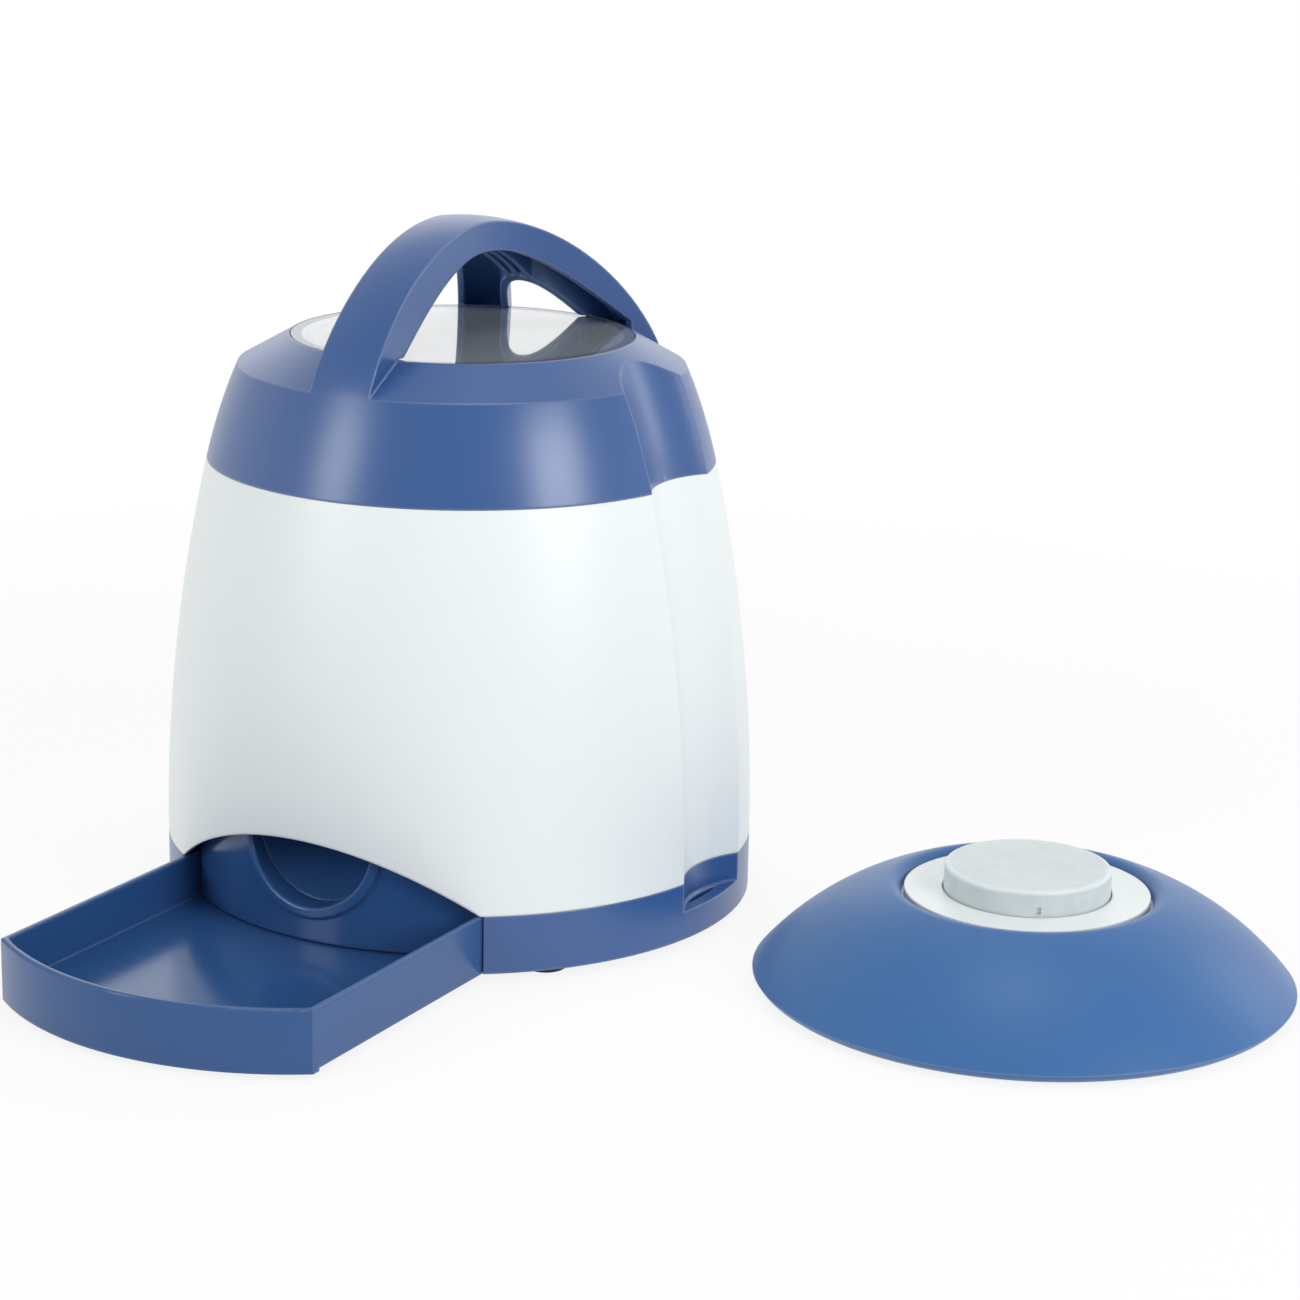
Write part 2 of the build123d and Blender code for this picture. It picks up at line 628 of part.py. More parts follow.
def hopper():
    """Funnel with its flange, and the bosses that carry the wheel housing."""
    body = spun(
        Polyline(
            (WELL_R, Z_RIM),
            (FUNNEL_R, Z_FLANGE),
            (FLANGE_R, Z_FLANGE),
            (FLANGE_R, Z_LEDGE),
            (FUNNEL_R + HOPPER_T, Z_LEDGE),
            (WELL_R + HOPPER_T, Z_RIM),
            close=True,
        )
    )
    body -= hollows(BODY_ARC, Z_LID, WALL + FIT)
    for x, y in housing_screw_places():
        body += disc(BOSS_R, Z_RIM, Z_RIM + BOSS_DEEP, x, y) - funnel_inside(HOPPER_T / 2)
    for x, y in housing_screw_places():
        body -= disc(SCREW_R + RUN_FIT, Z_RIM - OVERRUN, Z_RIM + SCREW_GRIP, x, y)
    for x, y in hopper_screw_places():
        body -= disc(SCREW_R + FIT / 2, Z_LEDGE - OVERRUN, Z_FLANGE + OVERRUN, x, y)
    return body


def wheel_housing():
    """Well of the wheel: port, shield, shaft boss, bracket posts and the ears that hang it on the funnel."""
    under = Z_WELL_UNDER
    body = disc(WELL_R + HOPPER_T, under, Z_RIM) - disc(WELL_R, Z_WELL, Z_RIM + OVERRUN)
    shield_z = Z_WELL + WHEEL_H + 2 * FIT
    shield = disc(WELL_R + HOPPER_T / 2, shield_z, shield_z + SHIELD_T)
    body += shield & block(-PORT_R, PORT_R, -BASE_R, PORT_R - PORT_ORBIT, Z_WELL, Z_RIM)
    body += disc(POST_R + SHAFT_R, under - GEAR_GAP + OVERRUN, under)
    for x, y in post_places():
        body += disc(POST_R, Z_BRACKET + BRACKET_T, under, x, y)
    for x, y in housing_screw_places():
        body += disc(BOSS_R, Z_RIM - EAR_T, Z_RIM, x, y)
    body -= disc(SHAFT_R + RUN_FIT, under - GEAR_GAP, Z_WELL + OVERRUN)
    body -= disc(PORT_R, under - OVERRUN, Z_WELL + OVERRUN, 0, -PORT_ORBIT)
    for x, y in post_places():
        body -= disc(SCREW_R + RUN_FIT, Z_BRACKET, under - OVERRUN, x, y)
    for x, y in housing_screw_places():
        body -= disc(SCREW_R + FIT / 2, Z_RIM - EAR_T - OVERRUN, Z_RIM + OVERRUN, x, y)
    return body


def housing_screws():
    """Four screws from below that hang the housing on the funnel."""
    z = Z_RIM - EAR_T
    return Compound([screw(x, y, z, 1, EAR_T + SCREW_GRIP - OVERRUN) for x, y in housing_screw_places()])


def hopper_screws():
    """Four screws through the hopper flange."""
    return Compound([screw(x, y, Z_FLANGE, -1, BOSS_DEEP - OVERRUN) for x, y in hopper_screw_places()])


def dispensing_wheel():
    """Wheel whose vanes sweep the treats to the port, one pocket over the port."""
    low, high = Z_WELL + FIT, Z_WELL + WHEEL_H
    wheel = disc(HUB_R, low, high)
    vane = block(0, WELL_R, -VANE_T / 2, VANE_T / 2, low, high) & disc(WELL_R - FIT, low, high)
    for i in range(VANES):
        wheel += Rot(0, 0, i * FULL_DEG / VANES) * vane
    upright_edges = wheel.edges().filter_by(Axis.Z)
    roots = [e for e in upright_edges if hypot(e.center().X, e.center().Y) < HUB_R + OVERRUN]
    wheel = fillet(roots, HUB_ROUND)
    return wheel - disc(SHAFT_R + RUN_FIT, low - OVERRUN, high + OVERRUN)


def stirrer_cone():
    """Cone with fins that keeps the treats moving."""
    low = Z_WELL + WHEEL_H
    high = low + CONE_H
    edge = [(CONE_R, low), (CONE_R, low + FIN_T), (CONE_TIP_R, high)]
    cone = spun(Polyline((0, low), *edge, (0, high), close=True))
    fin = block(0, CONE_R, -FIN_T / 2, FIN_T / 2, low, low + CONE_H / 2 + FIN_RISE)
    for i in range(FIN_COUNT):
        cone += Rot(0, 0, i * FULL_DEG / FIN_COUNT) * fin
    return cone - disc(SHAFT_R + RUN_FIT, low - OVERRUN, low + CONE_H / 2)


def involute(base_r, roll):
    """Radius and angle of an involute of a base circle at a roll angle."""
    reach = hypot(1, roll)
    return base_r * reach, roll - acos(1 / reach)


def gear(teeth, bore, z0, z1):
    """Spur gear with involute teeth, one tooth centred on +X."""
    pitch_r = MODULE * teeth / 2
    base_r = pitch_r * cos(radians(PRESSURE_DEG))
    tip_r = pitch_r + MODULE * ADDENDUM_SHARE
    root_r = pitch_r - MODULE * DEDENDUM_SHARE
    low_r = max(base_r, root_r + BACKLASH)
    half = pi / (2 * teeth) - BACKLASH / (2 * pitch_r)
    half += tan(radians(PRESSURE_DEG)) - radians(PRESSURE_DEG)
    roll_low = sqrt(max((low_r / base_r) ** 2 - 1, 0))
    roll_tip = sqrt((tip_r / base_r) ** 2 - 1)
    flank = []
    for i in range(FLANK_STEPS + 1):
        radius, angle = involute(base_r, roll_low + (roll_tip - roll_low) * i / FLANK_STEPS)
        flank.append((radius, half - angle))
    points = []
    for k in range(teeth):
        middle = 2 * pi * k / teeth
        right = [(root_r, flank[0][1])] + flank
        for radius, angle in right:
            points.append((radius * cos(middle - angle), radius * sin(middle - angle)))
        for radius, angle in reversed(right):
            points.append((radius * cos(middle + angle), radius * sin(middle + angle)))
    body = extrude(Pos(0, 0, z0) * make_face(Polyline(*points, close=True)), z1 - z0)
    return body - disc(bore + RUN_FIT, z0 - OVERRUN, z1 + OVERRUN)


def drive_gear():
    """Gear on the wheel shaft."""
    return gear(GEAR_TEETH, SHAFT_R, Z_GEAR, Z_GEAR + GEAR_T)


def pinion():
    """Pinion on the gearbox shaft, turned half a tooth so that it meshes."""
    turn = Rot(0, 0, FULL_DEG / 2 / PINION_TEETH)
    made = gear(PINION_TEETH, OUTPUT_R, Z_GEAR - OVERRUN, Z_GEAR + GEAR_T + OVERRUN)
    return Pos(0, CENTRE_DISTANCE, 0) * turn * made


def wheel_shaft():
    """Steel shaft through gear, wheel and cone."""
    return disc(SHAFT_R, Z_BRACKET, Z_WELL + WHEEL_H + CONE_H / 2 - OVERRUN)


def output_shaft():
    """Gearbox shaft."""
    return disc(OUTPUT_R, Z_BRACKET - FIT, Z_GEAR + GEAR_T + OVERRUN, 0, CENTRE_DISTANCE)


def gearbox_screw_places():
    """Places of the two gearbox screws."""
    x = GEARBOX_R - SCREW_HEAD_R - OVERRUN
    return [(s * x, CENTRE_DISTANCE) for s in (1, -1)]


def motor_bracket():
    """Plate under the gears that holds shaft end and gearbox."""
    xs = [p[0] for p in post_places()]
    ys = [p[1] for p in post_places()]
    margin = POST_R
    plate = block(
        min(xs) - margin, max(xs) + margin, min(ys) - margin, max(ys) + margin, Z_BRACKET, Z_BRACKET + BRACKET_T
    )
    plate = fillet(plate.edges().filter_by(Axis.Z), margin)
    plate -= disc(SHAFT_R + RUN_FIT, Z_BRACKET - OVERRUN, Z_BRACKET + BRACKET_T + OVERRUN)
    plate -= disc(OUTPUT_R + FIT, Z_BRACKET - OVERRUN, Z_BRACKET + BRACKET_T + OVERRUN, 0, CENTRE_DISTANCE)
    for x, y in post_places() + gearbox_screw_places():
        plate -= disc(SCREW_R + FIT / 2, Z_BRACKET - OVERRUN, Z_BRACKET + BRACKET_T + OVERRUN, x, y)
    return plate


def bracket_screws():
    """Four screws from below into the housing's posts."""
    return Compound([screw(x, y, Z_BRACKET, 1, SCREW_GRIP) for x, y in post_places()])


def gearbox():
    """Round reduction gearbox under the bracket."""
    low = Z_BRACKET - GEARBOX_H
    body = disc(GEARBOX_R, low, Z_BRACKET, 0, CENTRE_DISTANCE)
    body -= disc(OUTPUT_R + RUN_FIT, Z_BRACKET - FIT, Z_BRACKET + OVERRUN, 0, CENTRE_DISTANCE)
    for x, y in gearbox_screw_places():
        body -= disc(SCREW_R + RUN_FIT, Z_BRACKET - SCREW_GRIP, Z_BRACKET + OVERRUN, x, y)
    return body


def gearbox_screws():
    """Two screws through the bracket into the gearbox."""
    z = Z_BRACKET + BRACKET_T
    return Compound([screw(x, y, z, -1, SCREW_GRIP) for x, y in gearbox_screw_places()])


def motor():
    """Motor can under the gearbox, with its rear bearing boss."""
    top = Z_BRACKET - GEARBOX_H
    can = disc(MOTOR_R, top - MOTOR_H, top, 0, CENTRE_DISTANCE)
    return can + disc(MOTOR_R / 2, top - MOTOR_H - OVERRUN, top - MOTOR_H, 0, CENTRE_DISTANCE)


def main_board():
    """Circuit board on the roof of the cell bay."""
    y = (BAY_FRONT + BAY_BACK) / 2
    board = block(-BOARD_HALF_X, BOARD_HALF_X, y - BOARD_HALF_Y, y + BOARD_HALF_Y, Z_BOARD, Z_BOARD + BOARD_T)
    for px, py in board_places():
        board -= disc(SMALL_SCREW_R + FIT / 2, Z_BOARD - OVERRUN, Z_BOARD + BOARD_T + OVERRUN, px, py)
    return board


def board_screws():
    """Four small screws of the circuit board."""
    z = Z_BOARD + BOARD_T
    length = BOARD_POST_H + BOARD_T - OVERRUN
    return Compound(
        [screw(x, y, z, -1, length, SMALL_SCREW_R, SMALL_HEAD_R, SMALL_HEAD_H) for x, y in board_places()]
    )


def radio_module():
    """Shielded receiver on the circuit board, beside the motor."""
    y, z = (BAY_FRONT + BAY_BACK) / 2, Z_BOARD + BOARD_T
    return block(PART_X - RADIO_X / 2, PART_X + RADIO_X / 2, y - RADIO_Y / 2, y + RADIO_Y / 2, z, z + RADIO_H)


def buzzer():
    """Round sounder on the circuit board, beside the motor."""
    y, z = (BAY_FRONT + BAY_BACK) / 2, Z_BOARD + BOARD_T
    body = disc(BUZZER_R, z, z + BUZZER_H, -PART_X, y)
    return body - disc(OVERRUN, z + BUZZER_H / 2, z + BUZZER_H + OVERRUN, -PART_X, y)


def lying_cell(radius, length, nub_r, nub_l, x, y, z, way):
    """Cell along X whose nub end points to way."""
    turn = Pos(x, y, z) * Rot(0, FULL_DEG / 4 * way, 0)
    return turn * (disc(radius, 0, length) + disc(nub_r, length, length + nub_l))


def cell_rows():
    """Middle lines of the two rows of cells."""
    first = BAY_FRONT + CELL_GAP + AA_R
    return [first, first + 2 * AA_R + CELL_GAP]


def cells():
    """Four AA cells in two rows of two."""
    start = AA_NUB_L + FIT
    made = []
    for row, y in enumerate(cell_rows()):
        way = 1 - 2 * row
        made.append(lying_cell(AA_R, AA_L, AA_NUB_R, AA_NUB_L, way * FIT, y, Z_CELL, way))
        made.append(lying_cell(AA_R, AA_L, AA_NUB_R, AA_NUB_L, -way * (AA_L + start), y, Z_CELL, way))
    return Compound(made)


def cell_contacts():
    """Plates at both ends of the cell rows."""
    made = []
    for y in cell_rows():
        for side in (1, -1):
            x0, x1 = sorted((side * (BAY_HALF - FIT), side * (BAY_HALF - FIT - CONTACT_T)))
            z0, z1 = Z_CELL - CONTACT_HALF, Z_CELL + CONTACT_HALF
            made.append(block(x0, x1, y - CONTACT_HALF, y + CONTACT_HALF, z0, z1))
    return Compound(made)


def battery_door():
    """Door plate flush with the underside, with the tab for its screw."""
    door = door_box(0, Z_BASE, Z_FLOOR) + door_tab(0, BAY_FRONT + BAY_DEEP / 2, DOOR_SCREW_Y, Z_BASE, Z_FLOOR)
    return door - disc(SMALL_SCREW_R + FIT / 2, Z_BASE - OVERRUN, Z_FLOOR + OVERRUN, 0, DOOR_SCREW_Y)


def battery_door_screw():
    """Screw of the cell door, from below."""
    return screw(0, DOOR_SCREW_Y, Z_BASE, 1, DOOR_SCREW_L, SMALL_SCREW_R, SMALL_HEAD_R, SMALL_HEAD_H)


def switch_body():
    """Body of the slide switch, on the base floor."""
    body = block(
        SWITCH_X - SWITCH_HALF_X,
        SWITCH_X + SWITCH_HALF_X,
        SWITCH_Y - SWITCH_HALF_Y,
        SWITCH_Y + SWITCH_HALF_Y,
        Z_FLOOR,
        Z_FLOOR + SWITCH_H,
    )
    reach = KNOB_HALF_Y + KNOB_TRAVEL / 2 + FIT
    return body - block(
        SWITCH_X - KNOB_HALF_X - FIT,
        SWITCH_X + KNOB_HALF_X + FIT,
        SWITCH_Y - reach,
        SWITCH_Y + reach,
        Z_FLOOR - OVERRUN,
        Z_FLOOR + SWITCH_H / 2,
    )


def switch_knob():
    """Slider of the power switch, shown in the on place."""
    y = SWITCH_Y - KNOB_TRAVEL / 2
    return block(
        SWITCH_X - KNOB_HALF_X,
        SWITCH_X + KNOB_HALF_X,
        y - KNOB_HALF_Y,
        y + KNOB_HALF_Y,
        Z_BASE - KNOB_PROUD,
        Z_FLOOR + SWITCH_H / 2 - FIT,
    )


Z_GLASS = Z_WINDOW - GLASS_DROP
Z_SEAT = Z_GLASS - GLASS_T


def lid_ring():
    """Turned part of the lid: band, shoulder and window seat."""
    lean = hypot(CREASE_R - WINDOW_R, SHOULDER_H)
    n_out = ((Z_CREASE - LID_ARC[1]) / LID_ARC[2], (CREASE_R - LID_ARC[0]) / LID_ARC[2])
    n_band = (-n_out[1], -n_out[0])
    n_top = (-SHOULDER_H / lean, -(CREASE_R - WINDOW_R) / lean)
    mitre = WALL / (1 + n_band[0] * n_top[0] + n_band[1] * n_top[1])
    crease_in = (CREASE_R + mitre * (n_band[0] + n_top[0]), Z_CREASE + mitre * (n_band[1] + n_top[1]))
    slope = SHOULDER_H / (CREASE_R - WINDOW_R)
    seat_low = Z_SEAT - SEAT_T
    meet_r = crease_in[0] - (seat_low - crease_in[1]) / slope
    opening = WINDOW_R - SEAT_W
    edge_r = WINDOW_R + FIT
    edge_z = Z_WINDOW - FIT * slope
    low_in = arc_r(LID_ARC, Z_LID, WALL)
    middle_z = (Z_LID + crease_in[1]) / 2
    return spun(
        arc_edge(LID_ARC, Z_LID, Z_CREASE),
        Polyline(
            (CREASE_R, Z_CREASE),
            (edge_r, edge_z),
            (edge_r, Z_SEAT),
            (opening, Z_SEAT),
            (opening, seat_low),
            (meet_r, seat_low),
            crease_in,
        ),
        ThreePointArc(crease_in, (arc_r(LID_ARC, middle_z, WALL), middle_z), (low_in, Z_LID)),
        Line((low_in, Z_LID), (BODY_TOP_R, Z_LID)),
    )


def lid_envelope(inset):
    """Full solid inside the lid's band and shoulder, drawn in by inset."""
    band = arc_edge(LID_ARC, Z_LID, Z_CREASE - inset, inset)
    end = band @ 1
    top = Z_WINDOW - inset
    return spun(
        band,
        Polyline((end.X, end.Y), (WINDOW_R, top), (0, top), (0, Z_LID), (arc_r(LID_ARC, Z_LID, inset), Z_LID)),
    )


def handle_dome(drop):
    """Round solid under the handle's upper curve, lowered by drop, down into the lid."""
    foot = CREASE_R - drop
    crown = Z_TOP - drop
    low = Z_CREASE - WALL
    lean = (CREASE_R - LID_ARC[0], Z_CREASE - LID_ARC[1])
    pull = (crown - Z_CREASE) * OUTER_PULL_SHARE / lean[0]
    near = (foot - pull * lean[1], Z_CREASE + pull * lean[0])
    return spun(
        Bezier((foot, Z_CREASE), near, (foot * OUTER_CROWN_SHARE, crown), (0, crown)),
        Polyline((0, crown), (0, low), (foot, low), (foot, Z_CREASE)),
    )


def finger_gap():
    """Room for the fingers between handle and window, wide in X."""
    foot = WINDOW_R * HANDLE_FOOT_IN_SHARE
    rim = Z_WINDOW - FIT
    crown = Z_TOP - HANDLE_DEPTH
    near = (foot * (1 - INNER_LEAN_SHARE), rim + (crown - rim) * INNER_PULL_SHARE)
    top = foot * INNER_CROWN_SHARE
    edges = [
        Bezier((foot, rim), near, (top, crown), (0, crown)),
        Bezier((0, crown), (-top, crown), (-near[0], near[1]), (-foot, rim)),
        Polyline((-foot, rim), (-foot, Z_LID), (foot, Z_LID), (foot, rim)),
    ]
    return extrude(Plane.YZ * make_face(edges), CREASE_R, both=True)


def plan_face(inset):
    """Wishbone in plan, drawn in by inset: one leg at the front, two at the rear."""
    half = HANDLE_HALF - inset
    front = HANDLE_FOOT_HALF - inset
    ends = CREASE_R + OVERRUN
    start = -ends * FLARE_START_SHARE
    rear = ends * REAR_HALF_SHARE - inset
    bend = (ends * FLARE_BEND_X_SHARE - inset, ends * FLARE_BEND_Y_SHARE)
    turn = ends * FLARE_TURN_SHARE
    outline = make_face(
        [
            Bezier((-half, start), (-half, (start - ends) / 2), (-front, -ends)),
            Line((-front, -ends), (front, -ends)),
            Bezier((front, -ends), (half, (start - ends) / 2), (half, start)),
            Bezier((half, start), (half, turn), bend, (rear, ends)),
            Line((rear, ends), (-rear, ends)),
            Bezier((-rear, ends), (-bend[0], bend[1]), (-half, turn), (-half, start)),
        ]
    )
    crotch = ends * CROTCH_SHARE - inset
    bow = CROTCH_R + inset
    waist = (ends * CROTCH_WAIST_X_SHARE + inset, ends * CROTCH_WAIST_Y_SHARE)
    opened = ends * CROTCH_OPEN_SHARE + inset
    far = ends + OVERRUN
    gap = make_face(
        [
            Bezier((0, crotch), (bow, crotch), waist, (opened, far)),
            Line((opened, far), (-opened, far)),
            Bezier((-opened, far), (-waist[0], waist[1]), (-bow, crotch), (0, crotch)),
        ]
    )
    return outline - gap


def upright(face):
    """Plan face drawn up through the handle's height."""
    return extrude(Pos(0, 0, Z_LID) * face, Z_TOP - Z_LID + OVERRUN)


def handle():
    """Wishbone handle, hollow from below with three ribs along it."""
    solid = (handle_dome(0) & upright(plan_face(0))) - finger_gap()
    room = handle_dome(HANDLE_SKIN) & upright(plan_face(HANDLE_SIDE))
    for x in (-HANDLE_RIB_PITCH, 0, HANDLE_RIB_PITCH):
        room -= block(x - HANDLE_RIB / 2, x + HANDLE_RIB / 2, -CREASE_R, CREASE_R, Z_LID, Z_TOP)
    return solid - room


def lid():
    """Lid moulding: ring with grip hollows, spigot and wishbone handle."""
    cut = hollows(LID_ARC, Z_WINDOW)
    ring = lid_ring() - cut
    ring += (hollows(LID_ARC, Z_WINDOW, WALL) - cut) & lid_envelope(WALL / 2)
    spigot_r = arc_r(BODY_ARC, Z_LID, WALL) - FIT
    spigot = tube(spigot_r, spigot_r - SPIGOT_T, Z_LID - SPIGOT_H, Z_LID + SPIGOT_ROOT)
    spigot &= disc(BASE_R, Z_LID - SPIGOT_H, Z_LID) + lid_envelope(WALL / 2)
    ring += spigot - hollows(LID_ARC, Z_WINDOW, WALL + FIT)
    arms = handle() - disc(WINDOW_R - SEAT_W, Z_LID, Z_WINDOW)
    shape = ring + arms
    return shape - disc(WINDOW_R + FIT, Z_SEAT, Z_GLASS + FIT)


def window():
    """Clear disc in the lid."""
    return disc(WINDOW_R, Z_SEAT, Z_GLASS)


def dome_arc():
    """Centre and radius of the push button's outer arc."""
    run, rise = RIM_R - DOME_TOP_R, DOME_TOP_Z - RIM_Z
    chord = hypot(run, rise)
    radius = (chord**2 / 4 + DOME_SAG**2) / (2 * DOME_SAG)
    back = radius - DOME_SAG
    middle = ((RIM_R + DOME_TOP_R) / 2, (RIM_Z + DOME_TOP_Z) / 2)
    return middle[0] - back * rise / chord, middle[1] - back * run / chord, radius


def dome_edge(inset, r0, r1):
    """Push button's arc, drawn in by inset, between two radii."""
    cr, cz, radius = dome_arc()
    heights = [(r, cz + sqrt((radius - inset) ** 2 - (r - cr) ** 2)) for r in (r0, (r0 + r1) / 2, r1)]
    return ThreePointArc(*heights)


Z_STEP = DOME_TOP_Z - STEP_DROP


def remote_dome():
    """Soft skirt with a rounded rim and a rolled lip at the opening."""
    inner_rim = RIM_R - DOME_T - DOME_T / 2
    rim_in = RIM_R - DOME_T / 2
    rim_bulge = ((rim_in + RIM_R) / 2 + RIM_BULGE, (RIM_LOW + RIM_Z - RIM_BULGE) / 2)
    opening = PLATE_R + 2 * FIT
    skin = dome_edge(0, RIM_R, opening)
    crest = skin @ 1
    skin_in = dome_edge(DOME_T, inner_rim, DOME_TOP_R)
    low, top = skin_in @ 0, skin_in @ 1
    skirt = spun(
        skin,
        Polyline((crest.X, crest.Y), (opening, Z_STEP), (DOME_TOP_R, Z_STEP), (DOME_TOP_R, top.Y)),
        skin_in,
        Polyline((low.X, low.Y), (inner_rim, Z_REMOTE_FLOOR), (inner_rim, RIM_LOW), (rim_in, RIM_LOW)),
        ThreePointArc((rim_in, RIM_LOW), rim_bulge, (RIM_R, RIM_Z)),
    )
    shelf = tube(inner_rim + OVERRUN, inner_rim - 2 * DOME_T, Z_REMOTE_FLOOR, Z_REMOTE_FLOOR + DOME_T / 2)
    rim = skirt.edges().filter_by(GeomType.CIRCLE).sort_by(Axis.Z)
    return Pos(REMOTE_X, REMOTE_Y, 0) * (fillet(rim[-1:], LIP_ROUND) + shelf)


def remote_pads():
    """Places of the push button's feet and of its housing screws, in its own frame."""
    orbit = RIM_R * PAD_ORBIT_SHARE
    return ring_places(orbit, 4, PAD_DEG)


def tub_screws():
    """Places of the four screws that hold the housing."""
    orbit = PLATE_R + TUB_FLANGE / 2
    return ring_places(orbit, 4)


def remote_housing():
    """White plate with its tub, the step under the skirt lip and a flange for the screws."""
    tub = tube(PLATE_R, PLATE_R - TUB_T, Z_TUB, Z_PLATE)
    tub += tube(PLATE_R, CAP_R + FIT, Z_PLATE_UNDER, Z_PLATE)
    tub += tube(PLATE_R + STEP_W, PLATE_R - TUB_T / 2, Z_STEP - STEP_T, Z_STEP)
    tub += tube(PLATE_R + TUB_FLANGE, PLATE_R - TUB_T / 2, Z_TUB, Z_TUB + STEP_T)
    for x, y in remote_board_places():
        tub += disc(BOARD_POST_R, Z_REMOTE_BOARD + BOARD_T, Z_PLATE_UNDER + OVERRUN / 2, x, y)
    for x, y in remote_board_places():
        tub -= disc(SMALL_SCREW_R + RUN_FIT, Z_REMOTE_BOARD, Z_PLATE_UNDER, x, y)
    for x, y in tub_screws():
        tub -= disc(SCREW_R + RUN_FIT, Z_TUB - OVERRUN, Z_TUB + STEP_T + OVERRUN, x, y)
    return Pos(REMOTE_X, REMOTE_Y, 0) * tub


Z_REMOTE_CELL = Z_REMOTE_FLOOR + AAA_R + FIT
Z_REMOTE_BOARD = Z_REMOTE_CELL + AAA_R + 3 * FIT
Z_TACT_TOP = Z_REMOTE_BOARD + BOARD_T + TACT_H + TACT_STEM_H


def remote_board_places():
    """Places of the three board screws."""
    orbit = PLATE_R - TUB_T - BOARD_POST_R + FIT
    return ring_places(orbit, 3, REMOTE_BOARD_DEG)


def push_cap():
    """Frosted cap with its flange under the plate and the stem over the switch."""
    low = Z_CAP_FLANGE - CAP_FLANGE_T
    cap = disc(CAP_R, low, Z_CAP_TOP)
    cap = fillet(cap.edges().group_by(Axis.Z)[-1], CAP_EDGE)
    cap += disc(CAP_R + CAP_FLANGE, low, Z_CAP_FLANGE)
    cap -= disc(CAP_R - CAP_WALL, low - OVERRUN, Z_CAP_TOP - CAP_WALL)
    foot = Z_PLATE + OVERRUN
    notch = block(-NOTCH_W / 2, NOTCH_W / 2, -CAP_R - OVERRUN, NOTCH_DEEP - CAP_R, foot, foot + NOTCH_H)
    cap -= Rot(0, 0, NOTCH_DEG) * notch
    cap += disc(POST_STEM_R, Z_TACT_TOP + CAP_TRAVEL + FIT, Z_CAP_TOP - CAP_WALL / 2)
    return Pos(REMOTE_X, REMOTE_Y, 0) * cap


def cap_spring():
    """Return spring between board and cap."""
    low = Z_REMOTE_BOARD + BOARD_T + SPRING_WIRE_R
    high = Z_CAP_TOP - CAP_WALL - SPRING_WIRE_R
    path = Helix((high - low) / SPRING_TURNS, high - low, SPRING_R)
    section = Plane(origin=path @ 0, z_dir=path % 0) * Circle(SPRING_WIRE_R)
    return Pos(REMOTE_X, REMOTE_Y, low) * sweep(section, path=path, is_frenet=True)


def remote_board():
    """Round circuit board of the push button."""
    low, high = Z_REMOTE_BOARD, Z_REMOTE_BOARD + BOARD_T
    board = disc((PLATE_R - TUB_T) * REMOTE_BOARD_R_SHARE + BOARD_POST_R, low, high)
    for x, y in remote_board_places():
        board -= disc(SMALL_SCREW_R + FIT / 2, low - OVERRUN, high + OVERRUN, x, y)
    return Pos(REMOTE_X, REMOTE_Y, 0) * board


def remote_board_screws():
    """Three small screws from below through the board."""
    size = (SCREW_GRIP, SMALL_SCREW_R, SMALL_HEAD_R, FIT * 2)
    made = [screw(x, y, Z_REMOTE_BOARD, 1, *size) for x, y in remote_board_places()]
    return Pos(REMOTE_X, REMOTE_Y, 0) * Compound(made)


def tact_switch():
    """Push switch under the cap's stem."""
    z = Z_REMOTE_BOARD + BOARD_T
    body = block(-TACT_HALF, TACT_HALF, -TACT_HALF, TACT_HALF, z, z + TACT_H)
    return Pos(REMOTE_X, REMOTE_Y, 0) * (body + disc(TACT_STEM_R, z + TACT_H, Z_TACT_TOP))


def remote_cell_rows():
    """Middle lines of the two cells of the push button."""
    y = AAA_R + REMOTE_CELL_CLEAR
    return [y, -y]


REMOTE_BAY_HALF = AAA_L / 2 + AAA_NUB_L + CONTACT_ROOM
REMOTE_BAY_DEEP = 2 * AAA_R + 2 * REMOTE_CELL_CLEAR
REMOTE_SCREW_Y = REMOTE_BAY_DEEP + DOOR_TAB_R
Z_REMOTE_SCREW = PAD_H + PLATE_BASE_T / 2


def remote_door_box(grow, z0, z1):
    """Outline of the push button's cell door."""
    half_x, half_y = REMOTE_BAY_HALF - FIT + grow, REMOTE_BAY_DEEP - FIT + grow
    return block(-half_x, half_x, -half_y, half_y, z0, z1)


